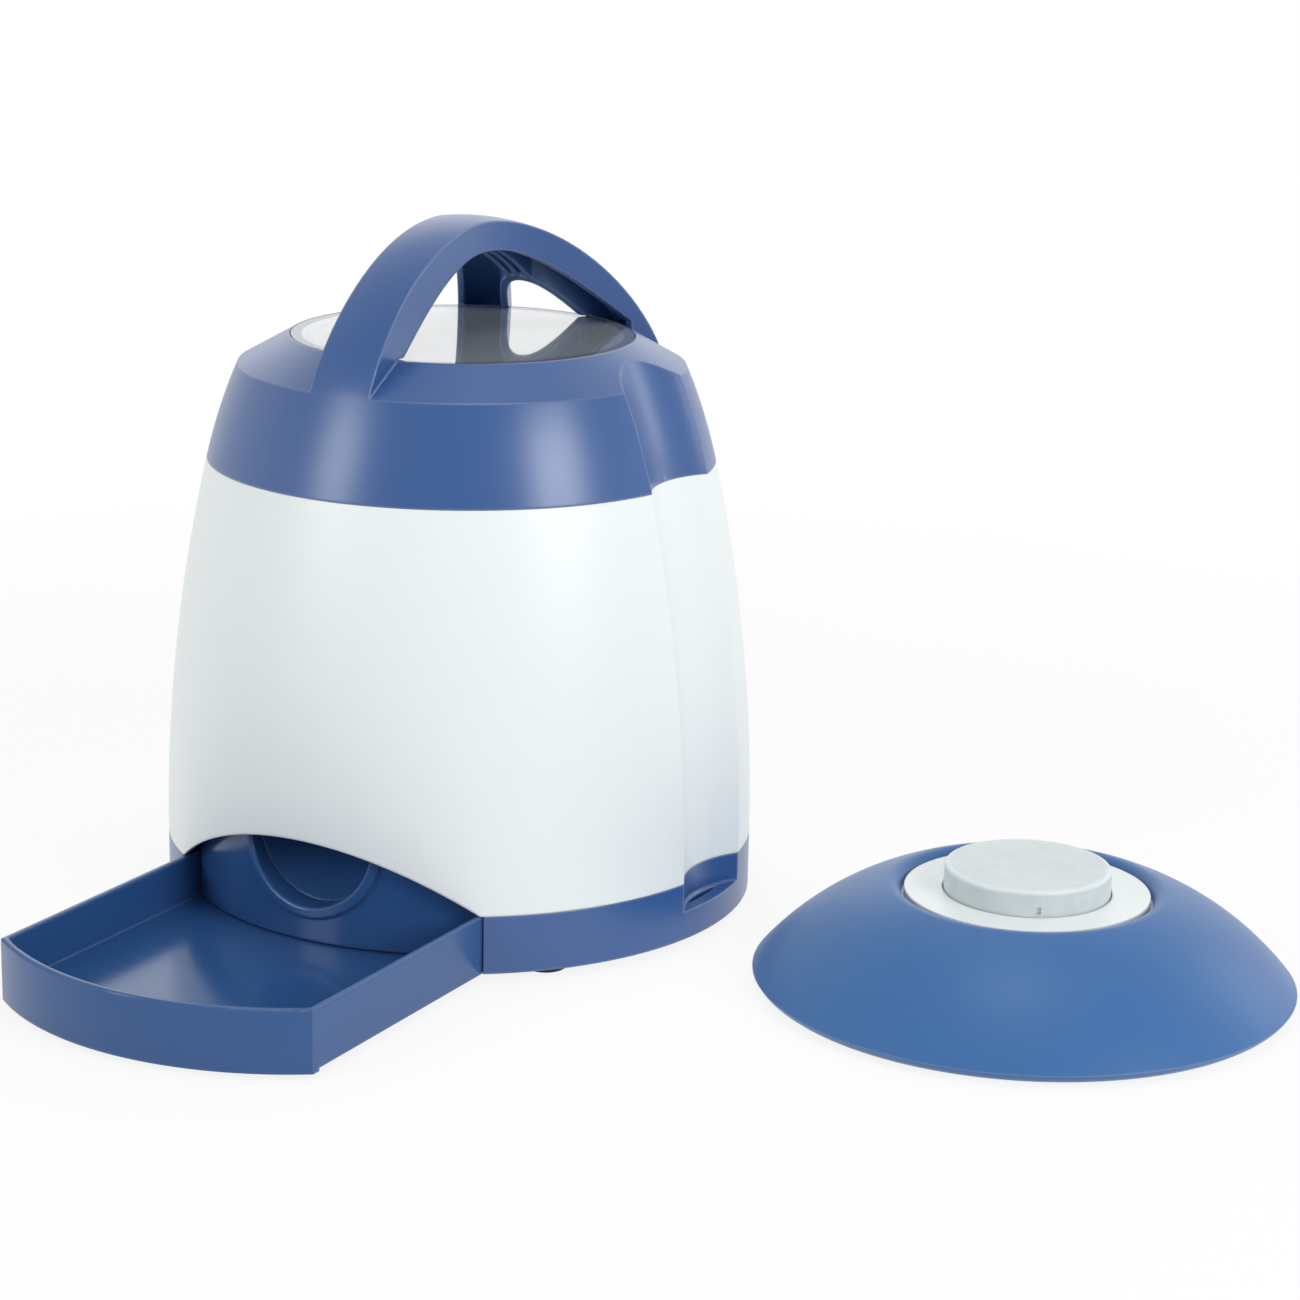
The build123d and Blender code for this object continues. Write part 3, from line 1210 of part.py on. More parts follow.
def remote_base():
    """Floor plate of the push button with screw columns."""
    plate = disc(RIM_R - DOME_T - DOME_T / 2 - SLIDE_FIT, PAD_H, Z_REMOTE_FLOOR)
    for x, y in tub_screws():
        plate += disc(POST_R, PAD_H, Z_TUB, x, y)
    boss = disc(DOOR_TAB_R + WALL, Z_REMOTE_FLOOR - OVERRUN, Z_REMOTE_FLOOR + REMOTE_BOSS_H, 0, REMOTE_SCREW_Y)
    plate += boss & block(-RIM_R, RIM_R, REMOTE_BAY_DEEP + FIT, RIM_R, PAD_H, Z_PLATE)
    plate -= remote_door_box(FIT, PAD_H - OVERRUN, Z_REMOTE_FLOOR + OVERRUN)
    plate -= door_tab(FIT, 0, REMOTE_SCREW_Y, PAD_H - OVERRUN, Z_REMOTE_FLOOR)
    plate -= disc(SMALL_SCREW_R + RUN_FIT, PAD_H, Z_REMOTE_FLOOR + REMOTE_BOSS_H - OVERRUN, 0, REMOTE_SCREW_Y)
    for x, y in tub_screws():
        plate -= disc(SCREW_R + FIT / 2, PAD_H - OVERRUN, Z_TUB + OVERRUN, x, y)
        plate -= disc(SCREW_HEAD_R + FIT, PAD_H - OVERRUN, PAD_H + SCREW_HEAD_H, x, y)
    for x, y in remote_pads():
        plate -= disc(PAD_R + FIT, PAD_H - OVERRUN, PAD_H + PAD_SINK, x, y)
    return Pos(REMOTE_X, REMOTE_Y, 0) * plate


def remote_screws():
    """Four screws from below into the housing flange."""
    z = PAD_H + SCREW_HEAD_H
    made = [screw(x, y, z, 1, Z_TUB + STEP_T - z) for x, y in tub_screws()]
    return Pos(REMOTE_X, REMOTE_Y, 0) * Compound(made)


def remote_feet():
    """Four soft pads under the push button."""
    made = [disc(PAD_R, 0, PAD_H + PAD_SINK, x, y) for x, y in remote_pads()]
    return Pos(REMOTE_X, REMOTE_Y, 0) * Compound(made)


def remote_cells():
    """Two AAA cells side by side."""
    made = []
    for row, y in enumerate(remote_cell_rows()):
        way = 1 - 2 * row
        made.append(lying_cell(AAA_R, AAA_L, AAA_NUB_R, AAA_NUB_L, -way * AAA_L / 2, y, Z_REMOTE_CELL, way))
    return Pos(REMOTE_X, REMOTE_Y, 0) * Compound(made)


def remote_contacts():
    """Contact plates at both ends of the two cells."""
    made = []
    for y in remote_cell_rows():
        for side in (1, -1):
            x0, x1 = sorted((side * REMOTE_BAY_HALF, side * (REMOTE_BAY_HALF - CONTACT_T)))
            z0, z1 = Z_REMOTE_FLOOR, Z_REMOTE_CELL + AAA_R
            made.append(block(x0, x1, y - AAA_R + FIT, y + AAA_R - FIT, z0, z1))
    return Pos(REMOTE_X, REMOTE_Y, 0) * Compound(made)


def remote_door():
    """Cell door flush with the underside of the push button, with the tab for its screw."""
    door = remote_door_box(0, PAD_H, Z_REMOTE_FLOOR) + door_tab(0, 0, REMOTE_SCREW_Y, PAD_H, Z_REMOTE_FLOOR)
    door -= disc(SMALL_SCREW_R + FIT / 2, PAD_H - OVERRUN, Z_REMOTE_FLOOR + OVERRUN, 0, REMOTE_SCREW_Y)
    door -= disc(SMALL_HEAD_R + FIT, PAD_H - OVERRUN, Z_REMOTE_SCREW, 0, REMOTE_SCREW_Y)
    return Pos(REMOTE_X, REMOTE_Y, 0) * door


def remote_door_screw():
    """Screw of the push button's cell door, its head sunk in the tab."""
    length = Z_REMOTE_FLOOR + REMOTE_BOSS_H - 2 * OVERRUN - Z_REMOTE_SCREW
    made = screw(0, REMOTE_SCREW_Y, Z_REMOTE_SCREW, 1, length, SMALL_SCREW_R, SMALL_HEAD_R, SMALL_HEAD_H)
    return Pos(REMOTE_X, REMOTE_Y, 0) * made


PIECES = [
    base,
    rubber_feet,
    base_screws,
    tray,
    outlet_wall,
    chute,
    outlet_screws,
    body_shell,
    hopper,
    hopper_screws,
    wheel_housing,
    housing_screws,
    dispensing_wheel,
    stirrer_cone,
    wheel_shaft,
    drive_gear,
    pinion,
    output_shaft,
    motor_bracket,
    bracket_screws,
    gearbox,
    gearbox_screws,
    motor,
    main_board,
    board_screws,
    radio_module,
    buzzer,
    cells,
    cell_contacts,
    battery_door,
    battery_door_screw,
    switch_body,
    switch_knob,
    lid,
    window,
    remote_dome,
    remote_housing,
    push_cap,
    cap_spring,
    remote_board,
    remote_board_screws,
    tact_switch,
    remote_base,
    remote_screws,
    remote_feet,
    remote_cells,
    remote_contacts,
    remote_door,
    remote_door_screw,
]

os.makedirs("parts", exist_ok=True)
for piece in PIECES:
    export_step(piece(), "parts/" + piece.__name__ + ".step")
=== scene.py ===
"""Treat dispenser with its push button: finishes, soft pieces and a plain studio, as an add-on."""

import math

import bmesh
import bpy
from bpy.props import FloatProperty, FloatVectorProperty, IntProperty, PointerProperty
from bpy.types import Operator, Panel, PropertyGroup
from mathutils import Matrix, Vector


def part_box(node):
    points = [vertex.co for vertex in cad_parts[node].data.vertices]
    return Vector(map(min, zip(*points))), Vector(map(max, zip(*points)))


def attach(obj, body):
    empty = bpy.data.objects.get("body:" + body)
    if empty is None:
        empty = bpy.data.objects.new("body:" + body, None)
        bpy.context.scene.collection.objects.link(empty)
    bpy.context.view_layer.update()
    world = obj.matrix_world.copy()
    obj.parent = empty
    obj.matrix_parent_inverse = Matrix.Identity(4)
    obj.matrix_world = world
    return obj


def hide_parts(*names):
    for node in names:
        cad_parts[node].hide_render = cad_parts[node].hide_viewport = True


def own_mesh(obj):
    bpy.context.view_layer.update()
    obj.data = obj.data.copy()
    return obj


bl_info = {
    "name": "Treat Dispenser Set",
    "version": (1, 0, 0),
    "blender": (4, 5, 0),
    "location": "3D View > Sidebar > Treat Set",
    "description": "Dresses the packed treat dispenser and its push button, sets up a plain studio",
    "category": "Object",
}

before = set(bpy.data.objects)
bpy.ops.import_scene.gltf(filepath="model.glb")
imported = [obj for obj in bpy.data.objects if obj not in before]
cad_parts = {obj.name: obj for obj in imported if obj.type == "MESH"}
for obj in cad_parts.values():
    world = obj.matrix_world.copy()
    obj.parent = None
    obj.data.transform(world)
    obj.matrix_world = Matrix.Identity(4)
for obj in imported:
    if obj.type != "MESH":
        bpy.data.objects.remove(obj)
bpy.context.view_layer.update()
MM = 0.001
# Vertices closer than this are merged, and edges sharper than this stay sharp
WELD = 0.001 * MM
CREASE = math.radians(40)
# Usual refractive index of moulded ABS and nylon
ABS_IOR = 1.53

# Softboxes: turn from the camera's side in degrees, then in metres the distance from the barrel's
# axis, the height above the floor, and the width and height of the lit face
SOFTBOXES = {
    "left": (-58, 1.35, 0.58, 0.4, 0.6),
    "right": (43, 1.35, 0.58, 0.55, 0.6),
    "top": (40, 0.18, 1.4, 0.5, 0.5),
    "side": (112, 1.35, 0.58, 0.5, 0.6),
    "back": (180, 1.7, 0.85, 2.8, 1.1),
}
# Point between barrel and push button that every softbox faces
AIM = Vector((0.08, -0.03, 0.11))
# Half the floor's width, and the distances from the barrel between which it turns to even white
FLOOR_HALF = 9.0
WHITE_NEAR, WHITE_FAR = 0.25, 0.7
# Share of even white next to the object; lit paper with its shadow makes up the rest
WHITE_SHARE = 0.86
# The room that gloss sees darkens along a leaning direction: between these distances on the floor,
# and between these cosines in the world. The floor gets darker than the world, by this share
ROOM_LEAN = math.radians(42)
FLOOR_FADE = (0.08, 0.34)
WORLD_FADE = (-0.1, 0.7)
FLOOR_DIM = 0.6
# Sensor width of the camera in millimetres
SENSOR = 36.0


def linear(hex_colour):
    """sRGB hex such as #3F5F9B as linear RGB."""
    channels = [int(hex_colour[i : i + 2], 16) / 255 for i in (1, 3, 5)]
    return [c / 12.92 if c <= 0.04045 else ((c + 0.055) / 1.055) ** 2.4 for c in channels]


def colour(label, about, hex_colour):
    """Colour property of a finish."""
    return FloatVectorProperty(
        name=label, description=about, default=linear(hex_colour), subtype="COLOR", min=0, max=1
    )


def length(label, about, size_mm):
    """Length property, given in millimetres and kept in metres."""
    return FloatProperty(
        name=label, description=about, default=size_mm * MM, unit="LENGTH", subtype="DISTANCE"
    )


def angle(label, about, degrees):
    """Angle property, given in degrees and kept in radians."""
    return FloatProperty(
        name=label, description=about, default=math.radians(degrees), unit="ROTATION"
    )


def power(side, watts):
    """Power property of one softbox."""
    about = f"Power of the {side.lower()} softbox"
    return FloatProperty(name=f"{side} softbox", description=about, default=watts, unit="POWER")


class TreatFinishes(PropertyGroup):
    """Colours of the mouldings and the fine sizes of their surfaces."""

    blue: colour("Blue", "Satin blue of lid, base and doors", "#2F5792")
    tray_blue: colour("Tray blue", "Polished blue of tray and outlet wall", "#2F568C")
    white: colour("White", "Satin white of barrel and plate", "#EBF1F1")
    skirt: colour("Skirt", "Soft blue of the push button's skirt", "#3A6AA3")
    cap: colour("Cap", "Frosted white of the cap", "#CFD8DA")
    # The cap's edge gets a painted highlight at this radius
    cap_radius: length("Cap radius", "Radius at which the cap's edge gathers light", 26.6)
    edge_round: length("Edge rounding", "Radius at which moulded edges catch the light", 1.1)
    # Real etching is near 0.1 mm, too fine to show, so the grain is drawn coarser
    grain: length("Mould grain", "Width of the etched grain, drawn coarse enough to show", 0.55)


class TreatSkirt(PropertyGroup):
    """Sizes of the soft skirt, which follow the push button's solid."""

    rim_radius: length("Rim radius", "Outer radius at the floor", 87.0)
    rim_height: length("Rim height", "Height at which the slope meets the rounded rim", 4.0)
    foot_height: length("Foot height", "Gap between rim and floor", 0.8)
    top_radius: length("Top radius", "Radius at which the slope's height is given", 42.0)
    top_height: length("Top height", "Height of the slope at that radius", 34.5)
    bulge: length("Bulge", "Rise of the slope's curve above its chord", 3.9)
    opening: length("Opening", "Radius of the opening round the white plate", 40.0)
    wall: length("Wall", "Thickness of the skirt", 3.0)
    lip: length("Lip", "Rounding of the opening's lip", 3.9)
    step: length("Step", "Height of the ledge on which the lip sits", 29.5)
    rim_round: length("Rim rounding", "Rounding of the rim's outer corners", 0.9)
    steps: IntProperty(
        name="Steps", description="Steps of the turned form", default=180, min=32, max=400
    )


class TreatSpring(PropertyGroup):
    """Sizes of the spring under the cap."""

    wire: length("Wire radius", "Radius of the spring's wire", 0.7)
    travel: length("Travel", "How far the cap is pressed, with a little play", 3.15)
    turns: FloatProperty(name="Turns", description="Number of coils", default=4.0, min=1, max=20)
    steps: IntProperty(name="Steps", description="Steps of each coil", default=40, min=12, max=120)


class TreatFeet(PropertyGroup):
    """Sizes of the rubber feet."""

    dispenser_radius: length("Dispenser foot", "Radius of the dispenser's feet", 7.0)
    remote_radius: length("Button foot", "Radius of the push button's feet", 6.0)
    edge: length("Edge", "Rounding of the lower edge", 0.7)
    tread: length("Tread", "Depth of the dished tread", 0.3)
    slope: length("Slope", "Width of the tread's sloping edge", 0.4)
    steps: IntProperty(name="Steps", description="Steps round a foot", default=48, min=12, max=96)


class TreatStudio(PropertyGroup):
    """Light of the studio and the camera's place."""

    left_power: power("Left", 4.3)
    right_power: power("Right", 7.4)
    top_power: power("Top", 3.0)
    back_power: power("Back", 4.5)
    side_power: power("Side", 1.5)
    ambient: FloatProperty(
        name="Ambient", description="Strength of the even light all round", default=0.48
    )
    front: FloatProperty(
        name="Front room", description="Brightness that gloss sees behind the camera", default=0.45
    )
    turn: angle("Turn", "Turn of the camera round the barrel", 31.75)
    pan: angle("Pan", "Turn of the view to the right of the barrel", 3.3518)
    tilt: angle("Tilt", "Tilt of the view below level", 15.16046)
    roll: angle("Roll", "Roll of the camera about its view", 1.16883)
    distance: length("Distance", "Level distance of the camera from the barrel's axis", 1101.6)
    height: length("Height", "Height of the camera above the floor", 382.5)
    lens: FloatProperty(name="Lens", description="Focal length", default=92.37, unit="CAMERA")


def put(tree, kind, inputs=None, **settings):
    """Adds one node, gives it its settings, and sets or links its inputs."""
    node = tree.nodes.new(kind)
    for key, value in settings.items():
        setattr(node, key, value)
    for socket, value in (inputs or {}).items():
        if isinstance(value, bpy.types.NodeSocket):
            tree.links.new(value, node.inputs[socket])
        else:
            node.inputs[socket].default_value = value
    return node


def opaque(rgb, dim=1.0):
    """Linear RGB, dimmed, as RGBA."""
    return [channel * dim for channel in rgb[:3]] + [1.0]


def blank(name):
    """New material with an empty tree, and its object coordinates."""
    material = bpy.data.materials.new(name)
    material.use_nodes = True
    tree = material.node_tree
    tree.nodes.clear()
    where = put(tree, "ShaderNodeTexCoord").outputs["Object"]
    return material, tree, where


def close(tree, shader):
    """Links the shader to the material's output."""
    put(tree, "ShaderNodeOutputMaterial", {"Surface": shader})


def moulded(name, rgb, roughness, grain, relief, edge, drift=0.06, edge_highlight=0.25, **sockets):
    """Moulded polymer: slow colour drift, the mould's grain, and rounded edges painted paler as a
    painted highlight.

    grain is the width of the mould's pits and relief their strength, edge the radius of the edges,
    drift how far the colour strays and the share after it how pale the painted edge highlight gets.
    sockets go to the shader.
    """
    cloud_size, pit_depth = 70 * MM, 0.06 * MM
    gloss_spread = 0.12
    # Cosines of the rounded normal to the plain one at which the painted edge highlight starts and
    # is full
    highlight_start, highlight_full = 0.997, 0.94
    highlight_rgb = [channel * 0.6 + 0.4 for channel in rgb[:3]]
    material, tree, where = blank(name)
    clouds = put(
        tree, "ShaderNodeTexNoise", {"Vector": where, "Scale": 1 / cloud_size, "Detail": 2.0}
    )
    tint = put(
        tree,
        "ShaderNodeMix",
        {
            "Factor": clouds.outputs["Fac"],
            "A": opaque(rgb, 1 - drift),
            "B": opaque(rgb, 1 + drift),
        },
        data_type="RGBA",
    )
    rounded = put(tree, "ShaderNodeBevel", {"Radius": edge}, samples=6)
    flat = put(tree, "ShaderNodeNewGeometry")
    facing = put(
        tree,
        "ShaderNodeVectorMath",
        {0: rounded.outputs["Normal"], 1: flat.outputs["Normal"]},
        operation="DOT_PRODUCT",
    )
    # Painted highlight: where the rounded normal turns away from the plain one, the edge is painted
    # paler
    painted_edge_mask = put(
        tree,
        "ShaderNodeMapRange",
        {
            "Value": facing.outputs["Value"],
            "From Min": highlight_start,
            "From Max": highlight_full,
            "To Min": 0.0,
            "To Max": edge_highlight,
        },
    )
    paler = put(
        tree,
        "ShaderNodeMix",
        {
            "Factor": painted_edge_mask.outputs["Result"],
            "A": tint.outputs["Result"],
            "B": opaque(highlight_rgb),
        },
        data_type="RGBA",
    )
    pits = put(tree, "ShaderNodeTexNoise", {"Vector": where, "Scale": 1 / grain, "Detail": 3.0})
    gloss = put(
        tree,
        "ShaderNodeMapRange",
        {
            "Value": pits.outputs["Fac"],
            "To Min": roughness * (1 - gloss_spread),
            "To Max": roughness * (1 + gloss_spread),
        },
    )
    bump = put(
        tree,
        "ShaderNodeBump",
        {
            "Height": pits.outputs["Fac"],
            "Strength": relief,
            "Distance": pit_depth,
            "Normal": rounded.outputs["Normal"],
        },
    )
    inputs = {
        "Base Color": paler.outputs["Result"],
        "Roughness": gloss.outputs["Result"],
        "Normal": bump.outputs["Normal"],
    }
    shader = put(tree, "ShaderNodeBsdfPrincipled", {**inputs, **sockets})
    close(tree, shader.outputs["BSDF"])
    return material


def frosted(name, rgb, grain, crown, radius):
    """Frosted polypropylene: light soaks in under a mottled haze, and the top's edge gets a painted
    highlight.

    crown is the middle of the top, and radius is how far from it the edge lies.
    """
    mottle_size, edge_round, pit_depth, soak_depth = 9 * MM, 0.6 * MM, 0.1 * MM, 3 * MM
    # The painted edge highlight comes up across this ring, and over this height below the crown
    ring_in, ring_out = radius - 2.2 * MM, radius - 0.5 * MM
    band_low, band_high = -1.6 * MM, -0.3 * MM
    material, tree, where = blank(name)
    cloud = put(
        tree,
        "ShaderNodeTexNoise",
        {"Vector": where, "Scale": 1 / mottle_size, "Detail": 4.0, "Roughness": 0.65},
    )
    mottle = put(
        tree,
        "ShaderNodeMix",
        {"Factor": cloud.outputs["Fac"], "A": opaque(rgb, 0.82), "B": opaque(rgb, 1.12)},
        data_type="RGBA",
    )
    place = put(tree, "ShaderNodeMapping", {"Vector": where, "Location": [-c for c in crown]})
    off_axis = put(
        tree,
        "ShaderNodeVectorMath",
        {0: place.outputs["Vector"], 1: (1, 1, 0)},
        operation="MULTIPLY",
    )
    reach = put(
        tree, "ShaderNodeVectorMath", {0: off_axis.outputs["Vector"]}, operation="LENGTH"
    )
    outer = put(
        tree,
        "ShaderNodeMapRange",
        {"Value": reach.outputs["Value"], "From Min": ring_in, "From Max": ring_out},
    )
    height = put(tree, "ShaderNodeSeparateXYZ", {"Vector": place.outputs["Vector"]})
    upper = put(
        tree,
        "ShaderNodeMapRange",
        {"Value": height.outputs["Z"], "From Min": band_low, "From Max": band_high},
    )
    edge = put(
        tree,
        "ShaderNodeMath",
        {0: outer.outputs["Result"], 1: upper.outputs["Result"]},
        operation="MULTIPLY",
    )
    # Painted highlight: the ring at the top's edge is painted brighter
    painted_edge_glow = put(
        tree,
        "ShaderNodeMix",
        {
            "Factor": edge.outputs["Value"],
            "A": mottle.outputs["Result"],
            "B": opaque(rgb, 1.14),
        },
        data_type="RGBA",
    )
    pits = put(tree, "ShaderNodeTexNoise", {"Vector": where, "Scale": 1 / grain, "Detail": 4.0})
    gloss = put(
        tree,
        "ShaderNodeMapRange",
        {"Value": cloud.outputs["Fac"], "To Min": 0.24, "To Max": 0.46},
    )
    rounded = put(tree, "ShaderNodeBevel", {"Radius": edge_round}, samples=4)
    bump = put(
        tree,
        "ShaderNodeBump",
        {
            "Height": pits.outputs["Fac"],
            "Strength": 0.5,
            "Distance": pit_depth,
            "Normal": rounded.outputs["Normal"],
        },
    )
    shader = put(
        tree,
        "ShaderNodeBsdfPrincipled",
        {
            "Base Color": painted_edge_glow.outputs["Result"],
            "Roughness": gloss.outputs["Result"],
            "IOR": 1.49,
            "Subsurface Weight": 0.35,
            "Subsurface Radius": (1.0, 1.0, 1.0),
            "Subsurface Scale": soak_depth,
            "Normal": bump.outputs["Normal"],
        },
    )
    close(tree, shader.outputs["BSDF"])
    return material


def clear_sheet(name):
    """Clear sheet: mirrors the room at a low angle, shows the funnel from above, a little hazy."""
    smear_size, haze_share = 25 * MM, 0.1
    clear_rgb = linear("#F4F6F6")
    material, tree, where = blank(name)
    smear = put(
        tree, "ShaderNodeTexNoise", {"Vector": where, "Scale": 1 / smear_size, "Detail": 3.0}
    )
    gloss = put(
        tree,
        "ShaderNodeMapRange",
        {"Value": smear.outputs["Fac"], "To Min": 0.0, "To Max": 0.05},
    )
    # The hard coat mirrors more than bare acrylic, so the IOR stands above acrylic's 1.49
    clear = put(
        tree,
        "ShaderNodeBsdfPrincipled",
        {
            "Base Color": opaque(clear_rgb),
            "Roughness": gloss.outputs["Result"],
            "IOR": 2.0,
            "Transmission Weight": 1.0,
        },
    )
    haze = put(tree, "ShaderNodeBsdfDiffuse", {"Color": opaque(linear("#E8EDEE"))})
    sheet = put(
        tree,
        "ShaderNodeMixShader",
        {"Fac": haze_share, 1: clear.outputs["BSDF"], 2: haze.outputs["BSDF"]},
    )
    # Light passes straight through, so the funnel under the sheet isn't in its shadow
    through = put(tree, "ShaderNodeBsdfTransparent", {"Color": opaque(clear_rgb)})
    path = put(tree, "ShaderNodeLightPath")
    both = put(
        tree,
        "ShaderNodeMixShader",
        {
            "Fac": path.outputs["Is Shadow Ray"],
            1: sheet.outputs["Shader"],
            2: through.outputs["BSDF"],
        },
    )
    close(tree, both.outputs["Shader"])
    return material


def metal(name, rgb, roughness, streak, stretch):
    """Bare or plated metal with the fine lines of drawing, rolling or turning.

    streak is the lines' length, and stretch says how much closer they lie along each axis.
    """
    line_depth = 0.03 * MM
    material, tree, where = blank(name)
    lines = put(tree, "ShaderNodeMapping", {"Vector": where, "Scale": stretch})
    wear = put(
        tree,
        "ShaderNodeTexNoise",
        {"Vector": lines.outputs["Vector"], "Scale": 1 / streak, "Detail": 4.0},
    )
    tint = put(
        tree,
        "ShaderNodeMix",
        {"Factor": wear.outputs["Fac"], "A": opaque(rgb, 0.85), "B": opaque(rgb, 1.08)},
        data_type="RGBA",
    )
    gloss = put(
        tree,
        "ShaderNodeMapRange",
        {"Value": wear.outputs["Fac"], "To Min": roughness * 0.8, "To Max": roughness * 1.3},
    )
    bump = put(
        tree,
        "ShaderNodeBump",
        {"Height": wear.outputs["Fac"], "Strength": 0.15, "Distance": line_depth},
    )
    shader = put(
        tree,
        "ShaderNodeBsdfPrincipled",
        {
            "Base Color": tint.outputs["Result"],
            "Metallic": 1.0,
            "Roughness": gloss.outputs["Result"],
            "Normal": bump.outputs["Normal"],
        },
    )
    close(tree, shader.outputs["BSDF"])
    return material


def board_laminate(name):
    """Glass-epoxy board under solder mask: tracks show as paler, raised lines in the green."""
    track_pitch, track_height = 9 * MM, 0.05 * MM
    material, tree, where = blank(name)
    tracks = put(
        tree,
        "ShaderNodeTexBrick",
        {
            "Vector": where,
            "Scale": 1 / track_pitch,
            "Color1": opaque(linear("#0E4A28")),
            "Color2": opaque(linear("#0B4022")),
            "Mortar": opaque(linear("#2C7A48")),
            "Mortar Size": 0.06,
        },
    )
    bump = put(
        tree,
        "ShaderNodeBump",
        {"Height": tracks.outputs["Fac"], "Strength": 0.4, "Distance": track_height},
    )
    shader = put(
        tree,
        "ShaderNodeBsdfPrincipled",
        {
            "Base Color": tracks.outputs["Color"],
            "Roughness": 0.35,
            "Normal": bump.outputs["Normal"],
        },
    )
    close(tree, shader.outputs["BSDF"])
    return material


def cell_film(name, centre, reach):
    """Printed film on cells: dark sleeve with a bronze band further than reach from the centre."""
    scuff_size = 4 * MM
    material, tree, where = blank(name)
    place = put(
        tree, "ShaderNodeMapping", {"Vector": where, "Location": (-centre.x, -centre.y, 0)}
    )
    split = put(tree, "ShaderNodeSeparateXYZ", {"Vector": place.outputs["Vector"]})
    away = put(tree, "ShaderNodeMath", {0: split.outputs["X"]}, operation="ABSOLUTE")
    band = put(
        tree, "ShaderNodeMath", {0: away.outputs["Value"], 1: reach}, operation="GREATER_THAN"
    )
    tint = put(
        tree,
        "ShaderNodeMix",
        {
            "Factor": band.outputs["Value"],
            "A": opaque(linear("#2A2E34")),
            "B": opaque(linear("#A8743C")),
        },
        data_type="RGBA",
    )
    scuff = put(
        tree, "ShaderNodeTexNoise", {"Vector": where, "Scale": 1 / scuff_size, "Detail": 4.0}
    )
    gloss = put(
        tree,
        "ShaderNodeMapRange",
        {"Value": scuff.outputs["Fac"], "To Min": 0.2, "To Max": 0.38},
    )
    shader = put(
        tree,
        "ShaderNodeBsdfPrincipled",
        {
            "Base Color": tint.outputs["Result"],
            "Roughness": gloss.outputs["Result"],
            "Metallic": 0.35,
        },
    )
    close(tree, shader.outputs["BSDF"])
    return material


def finish_nodes(material, *names):
    """Gives one finish to CAD nodes."""
    for name in names:
        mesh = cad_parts[name].data
        mesh.materials.clear()
        mesh.materials.append(material)


def centre_of(low, high):
    """Middle of a box."""
    return (Vector(low) + Vector(high)) / 2


def piece(mesh, name, material, body, slot, *nodes):
    """Turns a bmesh into a piece that rides on a body and stands for CAD nodes."""
    bmesh.ops.remove_doubles(mesh, verts=mesh.verts, dist=WELD)
    bmesh.ops.recalc_face_normals(mesh, faces=mesh.faces)
    data = bpy.data.meshes.new(name)
    mesh.to_mesh(data)
    mesh.free()
    data.shade_smooth()
    data.set_sharp_from_angle(angle=CREASE)
    data.materials.append(material)
    made = bpy.data.objects.new(name, data)
    bpy.context.scene.collection.objects.link(made)
    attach(made, body)
    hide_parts(*nodes)
    return made


class TREAT_OT_mouldings(Operator):
    """Finish the barrel, lid, base and tray mouldings"""

    bl_idname = "treat.mouldings"
    bl_label = "Finish mouldings"

    def execute(self, context):
        look = context.scene.treat_finishes
        fine, smooth, edge = look.grain, look.grain * 4, look.edge_round
        # Satin ABS from an etched mould: broad soft highlights, a little stronger than usual, and a
        # painted highlight along its edges
        blue = moulded("abs_blue_etched", look.blue, 0.3, fine, 0.18, edge, edge_highlight=0.32, IOR=1.66)
        # The same ABS from a polished mould: mirror-like drawer and outlet wall, with a light
        # painted highlight along edges and corners
        tray = moulded(
            "abs_blue_polished", look.tray_blue, 0.17, smooth, 0.04, edge, edge_highlight=0.12, IOR=1.46
        )
        # The same ABS as it leaves a plain mould: half-matt, with no painted highlight on its edges
        plain = moulded(
            "abs_blue_plain", look.tray_blue, 0.25, smooth, 0.04, edge, edge_highlight=0, IOR=ABS_IOR
        )
        # White ABS from an etched mould: even and almost matt, with a soft turn at its edges and a
        # faint painted highlight on them
        white = moulded(
            "abs_white_etched", look.white, 0.38, fine, 0.12, edge, 0.015, 0.1, IOR=ABS_IOR
        )
        finish_nodes(blue, "lid", "base", "battery_door", "remote_base", "remote_door")
        finish_nodes(tray, "tray", "outlet_wall")
        finish_nodes(plain, "chute")
        finish_nodes(white, "body_shell", "remote_housing")
        return {"FINISHED"}


class TREAT_OT_window(Operator):
    """Finish the clear disc in the lid"""

    bl_idname = "treat.window"
    bl_label = "Finish window"

    def execute(self, context):
        # Cast acrylic with a hard coat: glassy, with bright mirror images of the handle
        finish_nodes(clear_sheet("acrylic_clear_hard_coated"), "window")
        return {"FINISHED"}


class TREAT_OT_dispensing(Operator):
    """Finish the funnel, wheel housing, wheel and stirrer"""

    bl_idname = "treat.dispensing"
    bl_label = "Finish dispensing parts"

    def execute(self, context):
        look = context.scene.treat_finishes
        edge = look.edge_round
        # White ABS from a plain mould: smooth enough for treats to slide, a wide soft shine
        inner = moulded(
            "abs_white_plain", look.white, 0.3, look.grain * 2, 0.06, edge, 0.02, IOR=ABS_IOR
        )
        # Grey ABS from an etched mould: tells the moving wheel from the still funnel
        grey = moulded(
            "abs_grey_etched", linear("#9CA3A7"), 0.4, look.grain, 0.12, edge, IOR=ABS_IOR
        )
        finish_nodes(inner, "hopper", "wheel_housing")
        finish_nodes(grey, "dispensing_wheel", "stirrer_cone")
        return {"FINISHED"}


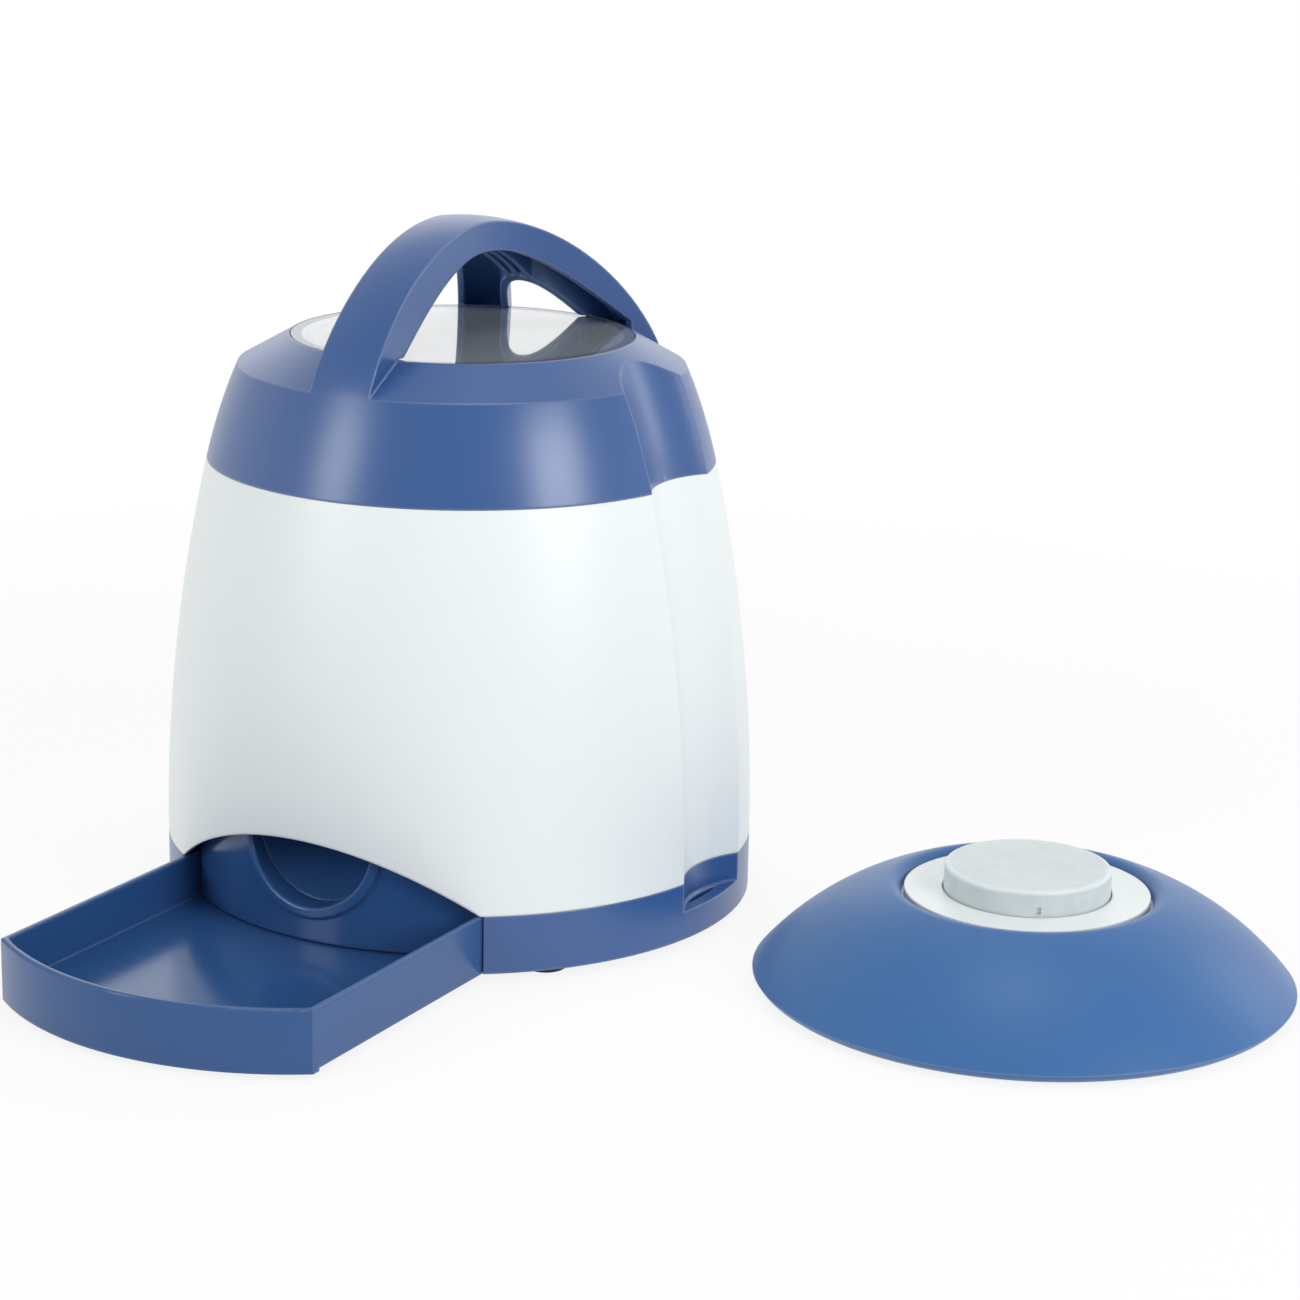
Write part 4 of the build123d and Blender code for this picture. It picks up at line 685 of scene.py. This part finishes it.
class TREAT_OT_drive(Operator):
    """Finish the gears, shafts, gearbox, motor, bracket and small electric parts"""

    bl_idname = "treat.drive"
    bl_label = "Finish drive"

    def execute(self, context):
        look = context.scene.treat_finishes
        tooth_edge, case_edge = 0.2 * MM, 0.4 * MM
        cream, black_rgb = linear("#DBD8CB"), linear("#141416")
        # Natural nylon, moulded: creamy and waxy
        nylon = moulded(
            "nylon_natural_moulded", cream, 0.42, look.grain, 0.1, tooth_edge, IOR=ABS_IOR
        )
        # Black ABS from an etched mould: dull, with edges painted pale as a painted highlight
        black = moulded(
            "abs_black_etched", black_rgb, 0.45, look.grain, 0.15, case_edge, IOR=ABS_IOR
        )
        # Ground shafts show fine rings round their axis
        shaft = metal("steel_ground", linear("#B4B6B8"), 0.22, 2 * MM, (1, 1, 12))
        # Drawn and plated can of the motor: warm bright metal with faint lines
        can = metal("steel_nickel_plated", linear("#C6C3BA"), 0.28, 3 * MM, (1, 1, 6))
        finish_nodes(nylon, "drive_gear", "pinion")
        finish_nodes(black, "motor_bracket", "gearbox", "buzzer")
        finish_nodes(black, "switch_body", "switch_knob", "tact_switch")
        finish_nodes(shaft, "wheel_shaft", "output_shaft")
        finish_nodes(can, "motor", "radio_module", "cell_contacts", "remote_contacts")
        return {"FINISHED"}


class TREAT_OT_electrics(Operator):
    """Finish the circuit boards and cells"""

    bl_idname = "treat.electrics"
    bl_label = "Finish boards and cells"

    def execute(self, context):
        # Glass-epoxy laminate under solder mask: green, with a web of paler tracks
        finish_nodes(board_laminate("laminate_solder_mask"), "main_board", "remote_board")
        # Printed film: the bronze band starts at a share of the set's half length
        for name, share in (("cells", 0.72), ("remote_cells", 0.5)):
            low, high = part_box(name)
            reach = (high[0] - low[0]) / 2 * share
            finish_nodes(cell_film(name + "_printed_film", centre_of(low, high), reach), name)
        return {"FINISHED"}


class TREAT_OT_fasteners(Operator):
    """Finish all screws"""

    bl_idname = "treat.fasteners"
    bl_label = "Finish screws"

    def execute(self, context):
        # Zinc-plated screws: dull bright metal with turning marks
        zinc = metal("steel_zinc_plated", linear("#9EA0A2"), 0.35, 1.5 * MM, (1, 1, 4))
        finish_nodes(zinc, *[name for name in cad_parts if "screw" in name])
        return {"FINISHED"}


class TREAT_OT_cap(Operator):
    """Finish the frosted cap of the push button"""

    bl_idname = "treat.cap"
    bl_label = "Finish cap"

    def execute(self, context):
        look = context.scene.treat_finishes
        low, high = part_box("push_cap")
        middle = centre_of(low, high)
        crown = (middle.x, middle.y, high[2])
        # Polypropylene from a blasted mould: milky, hazy, with a painted highlight along its upper
        # edge
        milky = frosted("polypropylene_frosted", look.cap, look.grain * 2, crown, look.cap_radius)
        finish_nodes(milky, "push_cap")
        return {"FINISHED"}


class TREAT_OT_skirt(Operator):
    """Model the soft skirt of the push button"""

    bl_idname = "treat.skirt"
    bl_label = "Model skirt"

    def execute(self, context):
        size = context.scene.treat_skirt
        look = context.scene.treat_finishes
        low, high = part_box("remote_dome")
        middle = centre_of(low, high)
        mesh = self.section(size)
        bmesh.ops.spin(
            mesh,
            geom=mesh.verts[:] + mesh.edges[:],
            cent=(0, 0, 0),
            axis=(0, 0, 1),
            angle=2 * math.pi,
            steps=size.steps,
            use_merge=True,
        )
        bmesh.ops.translate(mesh, verts=mesh.verts, vec=(middle.x, middle.y, 0))
        soft_edge = 0.8 * MM
        sheen = {"Sheen Weight": 0.15, "Sheen Roughness": 0.4}
        # Soft-touch elastomer: matt, with a faint sheen at low angles, and edges painted paler as a
        # painted highlight along the rim
        soft = moulded(
            "elastomer_soft_touch",
            look.skirt,
            0.42,
            look.grain,
            0.2,
            soft_edge,
            drift=0.04,
            edge_highlight=0.3,
            IOR=1.4,
            **sheen,
        )
        piece(mesh, "skirt", soft, "remote", "soft_skirt", "remote_dome")
        return {"FINISHED"}

    def section(self, size):
        """Closed section of the skirt in the upright plane, to be turned about the upright axis."""
        slope_steps, lip_steps, inner_steps, rim_steps = 32, 14, 20, 5
        # The rim's inner corner, foot and bulge stand in from its edge by shares of the wall
        inner_rim = size.rim_radius - 1.5 * size.wall
        foot_rim = size.rim_radius - 1.1 * size.wall
        bulge_rim = size.rim_radius - 0.35 * size.wall
        # The slope is an arc through rim and top, with its centre below their chord
        run, rise = size.rim_radius - size.top_radius, size.top_height - size.rim_height
        chord = math.hypot(run, rise)
        radius = (chord**2 / 4 + size.bulge**2) / (2 * size.bulge)
        back = radius - size.bulge
        centre = Vector(
            (
                (size.rim_radius + size.top_radius) / 2 - back * rise / chord,
                0,
                (size.rim_height + size.top_height) / 2 - back * run / chord,
            )
        )
        # The lip's round touches the slope from inside and ends upright at the opening
        lip_centre = Vector((size.opening + size.lip, 0, 0))
        lip_rise = math.sqrt((radius - size.lip) ** 2 - (lip_centre.x - centre.x) ** 2)
        lip_centre.z = centre.z + lip_rise
        lean = self.bearing(lip_centre, centre)
        drop = math.sqrt((radius - size.wall) ** 2 - (inner_rim - centre.x) ** 2)
        mesh = bmesh.new()
        # Outside: the slope, then the lip rolled over into the opening
        rim = mesh.verts.new((size.rim_radius, 0, size.rim_height))
        crest = self.swing(mesh, rim, centre, lean - self.bearing(rim.co, centre), slope_steps)
        wall_top = self.swing(mesh, crest, lip_centre, math.pi - lean, lip_steps)
        # Inside: the same slope, one wall further in
        under = mesh.verts.new((inner_rim, 0, centre.z + drop))
        reach = math.acos((size.top_radius - centre.x) / (radius - size.wall))
        turn = reach - self.bearing(under.co, centre)
        under_top = self.swing(mesh, under, centre, turn, inner_steps)
        # Ledge on the housing, and the rim with its flat foot and rounded outer edge
        ledge_in = mesh.verts.new((size.opening, 0, size.step))
        ledge_out = mesh.verts.new((size.top_radius, 0, size.step))
        foot_in = mesh.verts.new((inner_rim, 0, size.foot_height))
        foot_out = mesh.verts.new((foot_rim, 0, size.foot_height))
        bulge = mesh.verts.new((bulge_rim, 0, (size.rim_height + size.foot_height) / 2))
        for ends in (
            (wall_top, ledge_in),
            (ledge_in, ledge_out),
            (ledge_out, under_top),
            (under, foot_in),
            (foot_in, foot_out),
            (foot_out, bulge),
            (bulge, rim),
        ):
            mesh.edges.new(ends)
        bmesh.ops.bevel(
            mesh,
            geom=[bulge, foot_out],
            offset=size.rim_round,
            segments=rim_steps,
            profile=0.5,
            affect="VERTICES",
            material=-1,
        )
        return mesh

    def bearing(self, point, centre):
        """Angle of a point about a centre in the upright plane."""
        return math.atan2(point.z - centre.z, point.x - centre.x)

    def swing(self, mesh, vertex, centre, turn, steps):
        """Draws an arc from a vertex about a centre, and gives its last vertex."""
        made = bmesh.ops.spin(
            mesh, geom=[vertex], cent=centre, axis=(0, -1, 0), angle=turn, steps=steps
        )
        return next(v for v in made["geom_last"] if isinstance(v, bmesh.types.BMVert))


class TREAT_OT_spring(Operator):
    """Model the cap's return spring"""

    bl_idname = "treat.spring"
    bl_label = "Model spring"

    def execute(self, context):
        size = context.scene.treat_spring
        low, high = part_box("cap_spring")
        middle = centre_of(low, high)
        radius = (high[0] - low[0]) / 2 - size.wire
        tall = high[2] - low[2]
        rise = tall - 2 * size.wire
        steps = round(size.turns * size.steps)
        wire_sides = 12
        mesh = bmesh.new()
        ring = bmesh.ops.create_circle(
            mesh,
            segments=wire_sides,
            radius=size.wire,
            matrix=Matrix.Translation((radius, 0, 0)) @ Matrix.Rotation(math.radians(90), 4, "X"),
        )
        bmesh.ops.spin(
            mesh,
            geom=ring["verts"] + mesh.edges[:],
            cent=(0, 0, 0),
            axis=(0, 0, 1),
            dvec=(0, 0, rise / steps),
            angle=2 * math.pi * size.turns,
            steps=steps,
        )
        bmesh.ops.holes_fill(mesh, edges=[edge for edge in mesh.edges if edge.is_boundary])
        start = (middle.x, middle.y, low[2] + size.wire)
        bmesh.ops.translate(mesh, verts=mesh.verts, vec=start)
        # Spring wire, cold drawn: fine lines and a dull shine
        wire = metal("steel_spring_drawn", linear("#A9ABAE"), 0.28, 1 * MM, (1, 1, 8))
        made = piece(mesh, "cap_spring_wound", wire, "remote", "shaft_steel", "cap_spring")
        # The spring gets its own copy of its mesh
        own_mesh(made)
        return {"FINISHED"}


class TREAT_OT_feet(Operator):
    """Model the rubber feet of dispenser and push button"""

    bl_idname = "treat.feet"
    bl_label = "Model feet"

    def execute(self, context):
        size = context.scene.treat_feet
        look = context.scene.treat_finishes
        dark, rubber_edge_radius = linear("#2A303A"), 0.4 * MM
        # Moulded rubber: dull and dark, its tone drifting a little, with edges painted slightly
        # paler as a painted highlight
        rubber = moulded(
            "rubber_moulded", dark, 0.75, look.grain, 0.3, rubber_edge_radius, 0.15, 0.1, IOR=1.5
        )
        for name, body, radius in (
            ("rubber_feet", "dispenser", size.dispenser_radius),
            ("remote_feet", "remote", size.remote_radius),
        ):
            low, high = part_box(name)
            middle = centre_of(low, high)
            mesh = bmesh.new()
            for x in (low[0] + radius, high[0] - radius):
                for y in (low[1] + radius, high[1] - radius):
                    place = Vector((x, y, middle.z))
                    self.foot(mesh, size, place, radius, high[2] - low[2])
            piece(mesh, name + "_rounded", rubber, body, "foot_rubber", name)
        return {"FINISHED"}

    def foot(self, mesh, size, place, radius, height):
        """One round foot with a rounded lower edge and a dished tread."""
        edge_steps = 4
        border = radius / 4
        made = bmesh.ops.create_cone(
            mesh,
            cap_ends=True,
            segments=size.steps,
            radius1=radius,
            radius2=radius,
            depth=height,
            matrix=Matrix.Translation(place),
        )
        faces = [face for vertex in made["verts"] for face in vertex.link_faces]
        bottom = min(faces, key=lambda face: face.calc_center_median().z)
        bmesh.ops.bevel(
            mesh,
            geom=list(bottom.edges),
            offset=size.edge,
            segments=edge_steps,
            profile=0.5,
            affect="EDGES",
            material=-1,
        )
        # Only the foot's two end faces have their middle near its axis
        ends = [f for f in mesh.faces if (f.calc_center_median() - place).xy.length < border]
        tread = min(ends, key=lambda face: face.calc_center_median().z)
        bmesh.ops.inset_region(mesh, faces=[tread], thickness=border, depth=0)
        bmesh.ops.inset_region(mesh, faces=[tread], thickness=size.slope, depth=-size.tread)


class TREAT_OT_stage(Operator):
    """Set up the floor, softboxes, even light and camera"""

    bl_idname = "treat.stage"
    bl_label = "Set up stage"

    def execute(self, context):
        studio = context.scene.treat_studio
        facing = math.radians(-90) + studio.turn
        self.floor(context, studio, facing)
        for side in SOFTBOXES:
            self.softbox(context, side, getattr(studio, side + "_power"), facing)
        self.world(context, studio, facing)
        self.camera(context, studio)
        context.scene.view_settings.view_transform = "Standard"
        return {"FINISHED"}

    def softbox(self, context, side, watts, facing):
        """One softbox, turned to the middle of the set and hidden from the camera."""
        degrees, away, up, wide, tall = SOFTBOXES[side]
        name = "softbox_" + side
        lamp = bpy.data.lights.new(name, "AREA")
        lamp.shape, lamp.size, lamp.size_y, lamp.energy = "RECTANGLE", wide, tall, watts
        holder = bpy.data.objects.new(name, lamp)
        context.scene.collection.objects.link(holder)
        holder.visible_camera = False
        bearing = facing + math.radians(degrees)
        spot = Vector((away * math.cos(bearing), away * math.sin(bearing), up))
        towards = (AIM - spot).to_track_quat("-Z", "Y").to_matrix().to_4x4()
        holder.matrix_world = Matrix.Translation(spot) @ towards

    def floor(self, context, studio, facing):
        """White floor: even white, with some lit paper round the object that keeps the shadow."""
        mesh = bmesh.new()
        bmesh.ops.create_grid(mesh, x_segments=2, y_segments=2, size=FLOOR_HALF)
        data = bpy.data.meshes.new("floor")
        mesh.to_mesh(data)
        mesh.free()
        floor = bpy.data.objects.new("floor", data)
        context.scene.collection.objects.link(floor)
        # Matt white paper: no gloss, a soft shadow
        material, tree, where = blank("paper_white_matt")
        paper = put(tree, "ShaderNodeBsdfDiffuse", {"Color": opaque(linear("#FBFBFB"))})
        off = put(tree, "ShaderNodeVectorMath", {0: where}, operation="LENGTH")
        far = put(
            tree,
            "ShaderNodeMapRange",
            {
                "Value": off.outputs["Value"],
                "From Min": WHITE_NEAR,
                "From Max": WHITE_FAR,
                "To Min": WHITE_SHARE,
            },
            interpolation_type="SMOOTHSTEP",
        )
        path = put(tree, "ShaderNodeLightPath")
        straight = put(
            tree,
            "ShaderNodeMath",
            {0: path.outputs["Is Camera Ray"], 1: path.outputs["Is Transmission Ray"]},
            operation="MAXIMUM",
        )
        share = put(
            tree,
            "ShaderNodeMath",
            {0: straight.outputs["Value"], 1: far.outputs["Result"]},
            operation="MULTIPLY",
        )
        seen = put(
            tree,
            "ShaderNodeMath",
            {0: share.outputs["Value"], 1: path.outputs["Is Glossy Ray"]},
            operation="MAXIMUM",
        )
        room = self.room(tree, where, facing, FLOOR_FADE, studio.front * FLOOR_DIM)
        level = put(
            tree, "ShaderNodeMix", {"Factor": path.outputs["Is Glossy Ray"], "A": 1.0, "B": room}
        )
        white = put(
            tree,
            "ShaderNodeEmission",
            {"Color": (1, 1, 1, 1), "Strength": level.outputs["Result"]},
        )
        both = put(
            tree,
            "ShaderNodeMixShader",
            {"Fac": seen.outputs["Value"], 1: paper.outputs["BSDF"], 2: white.outputs["Emission"]},
        )
        close(tree, both.outputs["Shader"])
        data.materials.append(material)

    def room(self, tree, way, facing, fade, front):
        """Brightness of the room to gloss: white behind the object, darker in front and above."""
        flat = math.cos(ROOM_LEAN)
        dark = (math.cos(facing) * flat, math.sin(facing) * flat, math.sin(ROOM_LEAN))
        ahead = put(tree, "ShaderNodeVectorMath", {0: way, 1: dark}, operation="DOT_PRODUCT")
        level = put(
            tree,
            "ShaderNodeMapRange",
            {
                "Value": ahead.outputs["Value"],
                "From Min": fade[0],
                "From Max": fade[1],
                "To Min": 1.0,
                "To Max": front,
            },
            interpolation_type="SMOOTHSTEP",
        )
        return level.outputs["Result"]

    def world(self, context, studio, facing):
        """Even light for matt surfaces, the darkening room for gloss, and white for the camera."""
        world = bpy.data.worlds.new("studio")
        context.scene.world = world
        world.use_nodes = True
        tree = world.node_tree
        tree.nodes.clear()
        way = put(tree, "ShaderNodeTexCoord").outputs["Generated"]
        room = self.room(tree, way, facing, WORLD_FADE, studio.front)
        path = put(tree, "ShaderNodeLightPath")
        level = put(
            tree,
            "ShaderNodeMix",
            {"Factor": path.outputs["Is Glossy Ray"], "A": studio.ambient, "B": room},
        )
        seen = put(
            tree,
            "ShaderNodeMath",
            {0: path.outputs["Is Camera Ray"], 1: path.outputs["Is Transmission Ray"]},
            operation="MAXIMUM",
        )
        strength = put(
            tree,
            "ShaderNodeMath",
            {0: level.outputs["Result"], 1: seen.outputs["Value"]},
            operation="MAXIMUM",
        )
        sky = put(
            tree,
            "ShaderNodeBackground",
            {"Color": (1, 1, 1, 1), "Strength": strength.outputs["Value"]},
        )
        put(tree, "ShaderNodeOutputWorld", {"Surface": sky.outputs["Background"]})

    def camera(self, context, studio):
        """Camera at the photograph's place: turned, tipped down and rolled a little."""
        pan, tilt = studio.pan, studio.tilt
        right = Vector((math.cos(pan), -math.sin(pan), 0))
        ahead = Vector(
            (math.sin(pan) * math.cos(tilt), math.cos(pan) * math.cos(tilt), -math.sin(tilt))
        )
        up = right.cross(ahead)
        view = Matrix((right, up, -ahead)).transposed().to_4x4()
        spot = Matrix.Translation((0, -studio.distance, studio.height))
        place = spot @ view @ Matrix.Rotation(studio.roll, 4, "Z")
        camera = bpy.data.objects.new("camera", bpy.data.cameras.new("camera"))
        context.scene.collection.objects.link(camera)
        camera.matrix_world = Matrix.Rotation(studio.turn, 4, "Z") @ place
        camera.data.sensor_width = SENSOR
        camera.data.lens = studio.lens
        context.scene.camera = camera


class TREAT_PT_set(Panel):
    """Treat dispenser set: its finishes, pieces and stage"""

    bl_label = "Treat Set"
    bl_idname = "TREAT_PT_set"
    bl_space_type = "VIEW_3D"
    bl_region_type = "UI"
    bl_category = "Treat Set"

    def draw(self, context):
        for step in STEPS:
            self.layout.operator(step.bl_idname)
        for group in (getattr(context.scene, name) for name in GROUPS):
            box = self.layout.box()
            for name in group.__annotations__:
                box.prop(group, name)


STEPS = (
    TREAT_OT_mouldings,
    TREAT_OT_window,
    TREAT_OT_dispensing,
    TREAT_OT_drive,
    TREAT_OT_electrics,
    TREAT_OT_fasteners,
    TREAT_OT_cap,
    TREAT_OT_skirt,
    TREAT_OT_spring,
    TREAT_OT_feet,
    TREAT_OT_stage,
)
GROUPS = {
    "treat_finishes": TreatFinishes,
    "treat_skirt": TreatSkirt,
    "treat_spring": TreatSpring,
    "treat_feet": TreatFeet,
    "treat_studio": TreatStudio,
}
CLASSES = (*GROUPS.values(), *STEPS, TREAT_PT_set)


def register():
    """Registers the classes and hangs the settings on the scene."""
    for made in CLASSES:
        bpy.utils.register_class(made)
    for name, group in GROUPS.items():
        setattr(bpy.types.Scene, name, PointerProperty(type=group))


def unregister():
    """Takes the settings and classes away again."""
    for name in GROUPS:
        delattr(bpy.types.Scene, name)
    for made in reversed(CLASSES):
        bpy.utils.unregister_class(made)


def main():
    """Runs every step in order."""
    register()
    for step in STEPS:
        getattr(bpy.ops.treat, step.bl_idname.split(".")[1])()


if __name__ == "__main__":
    main()
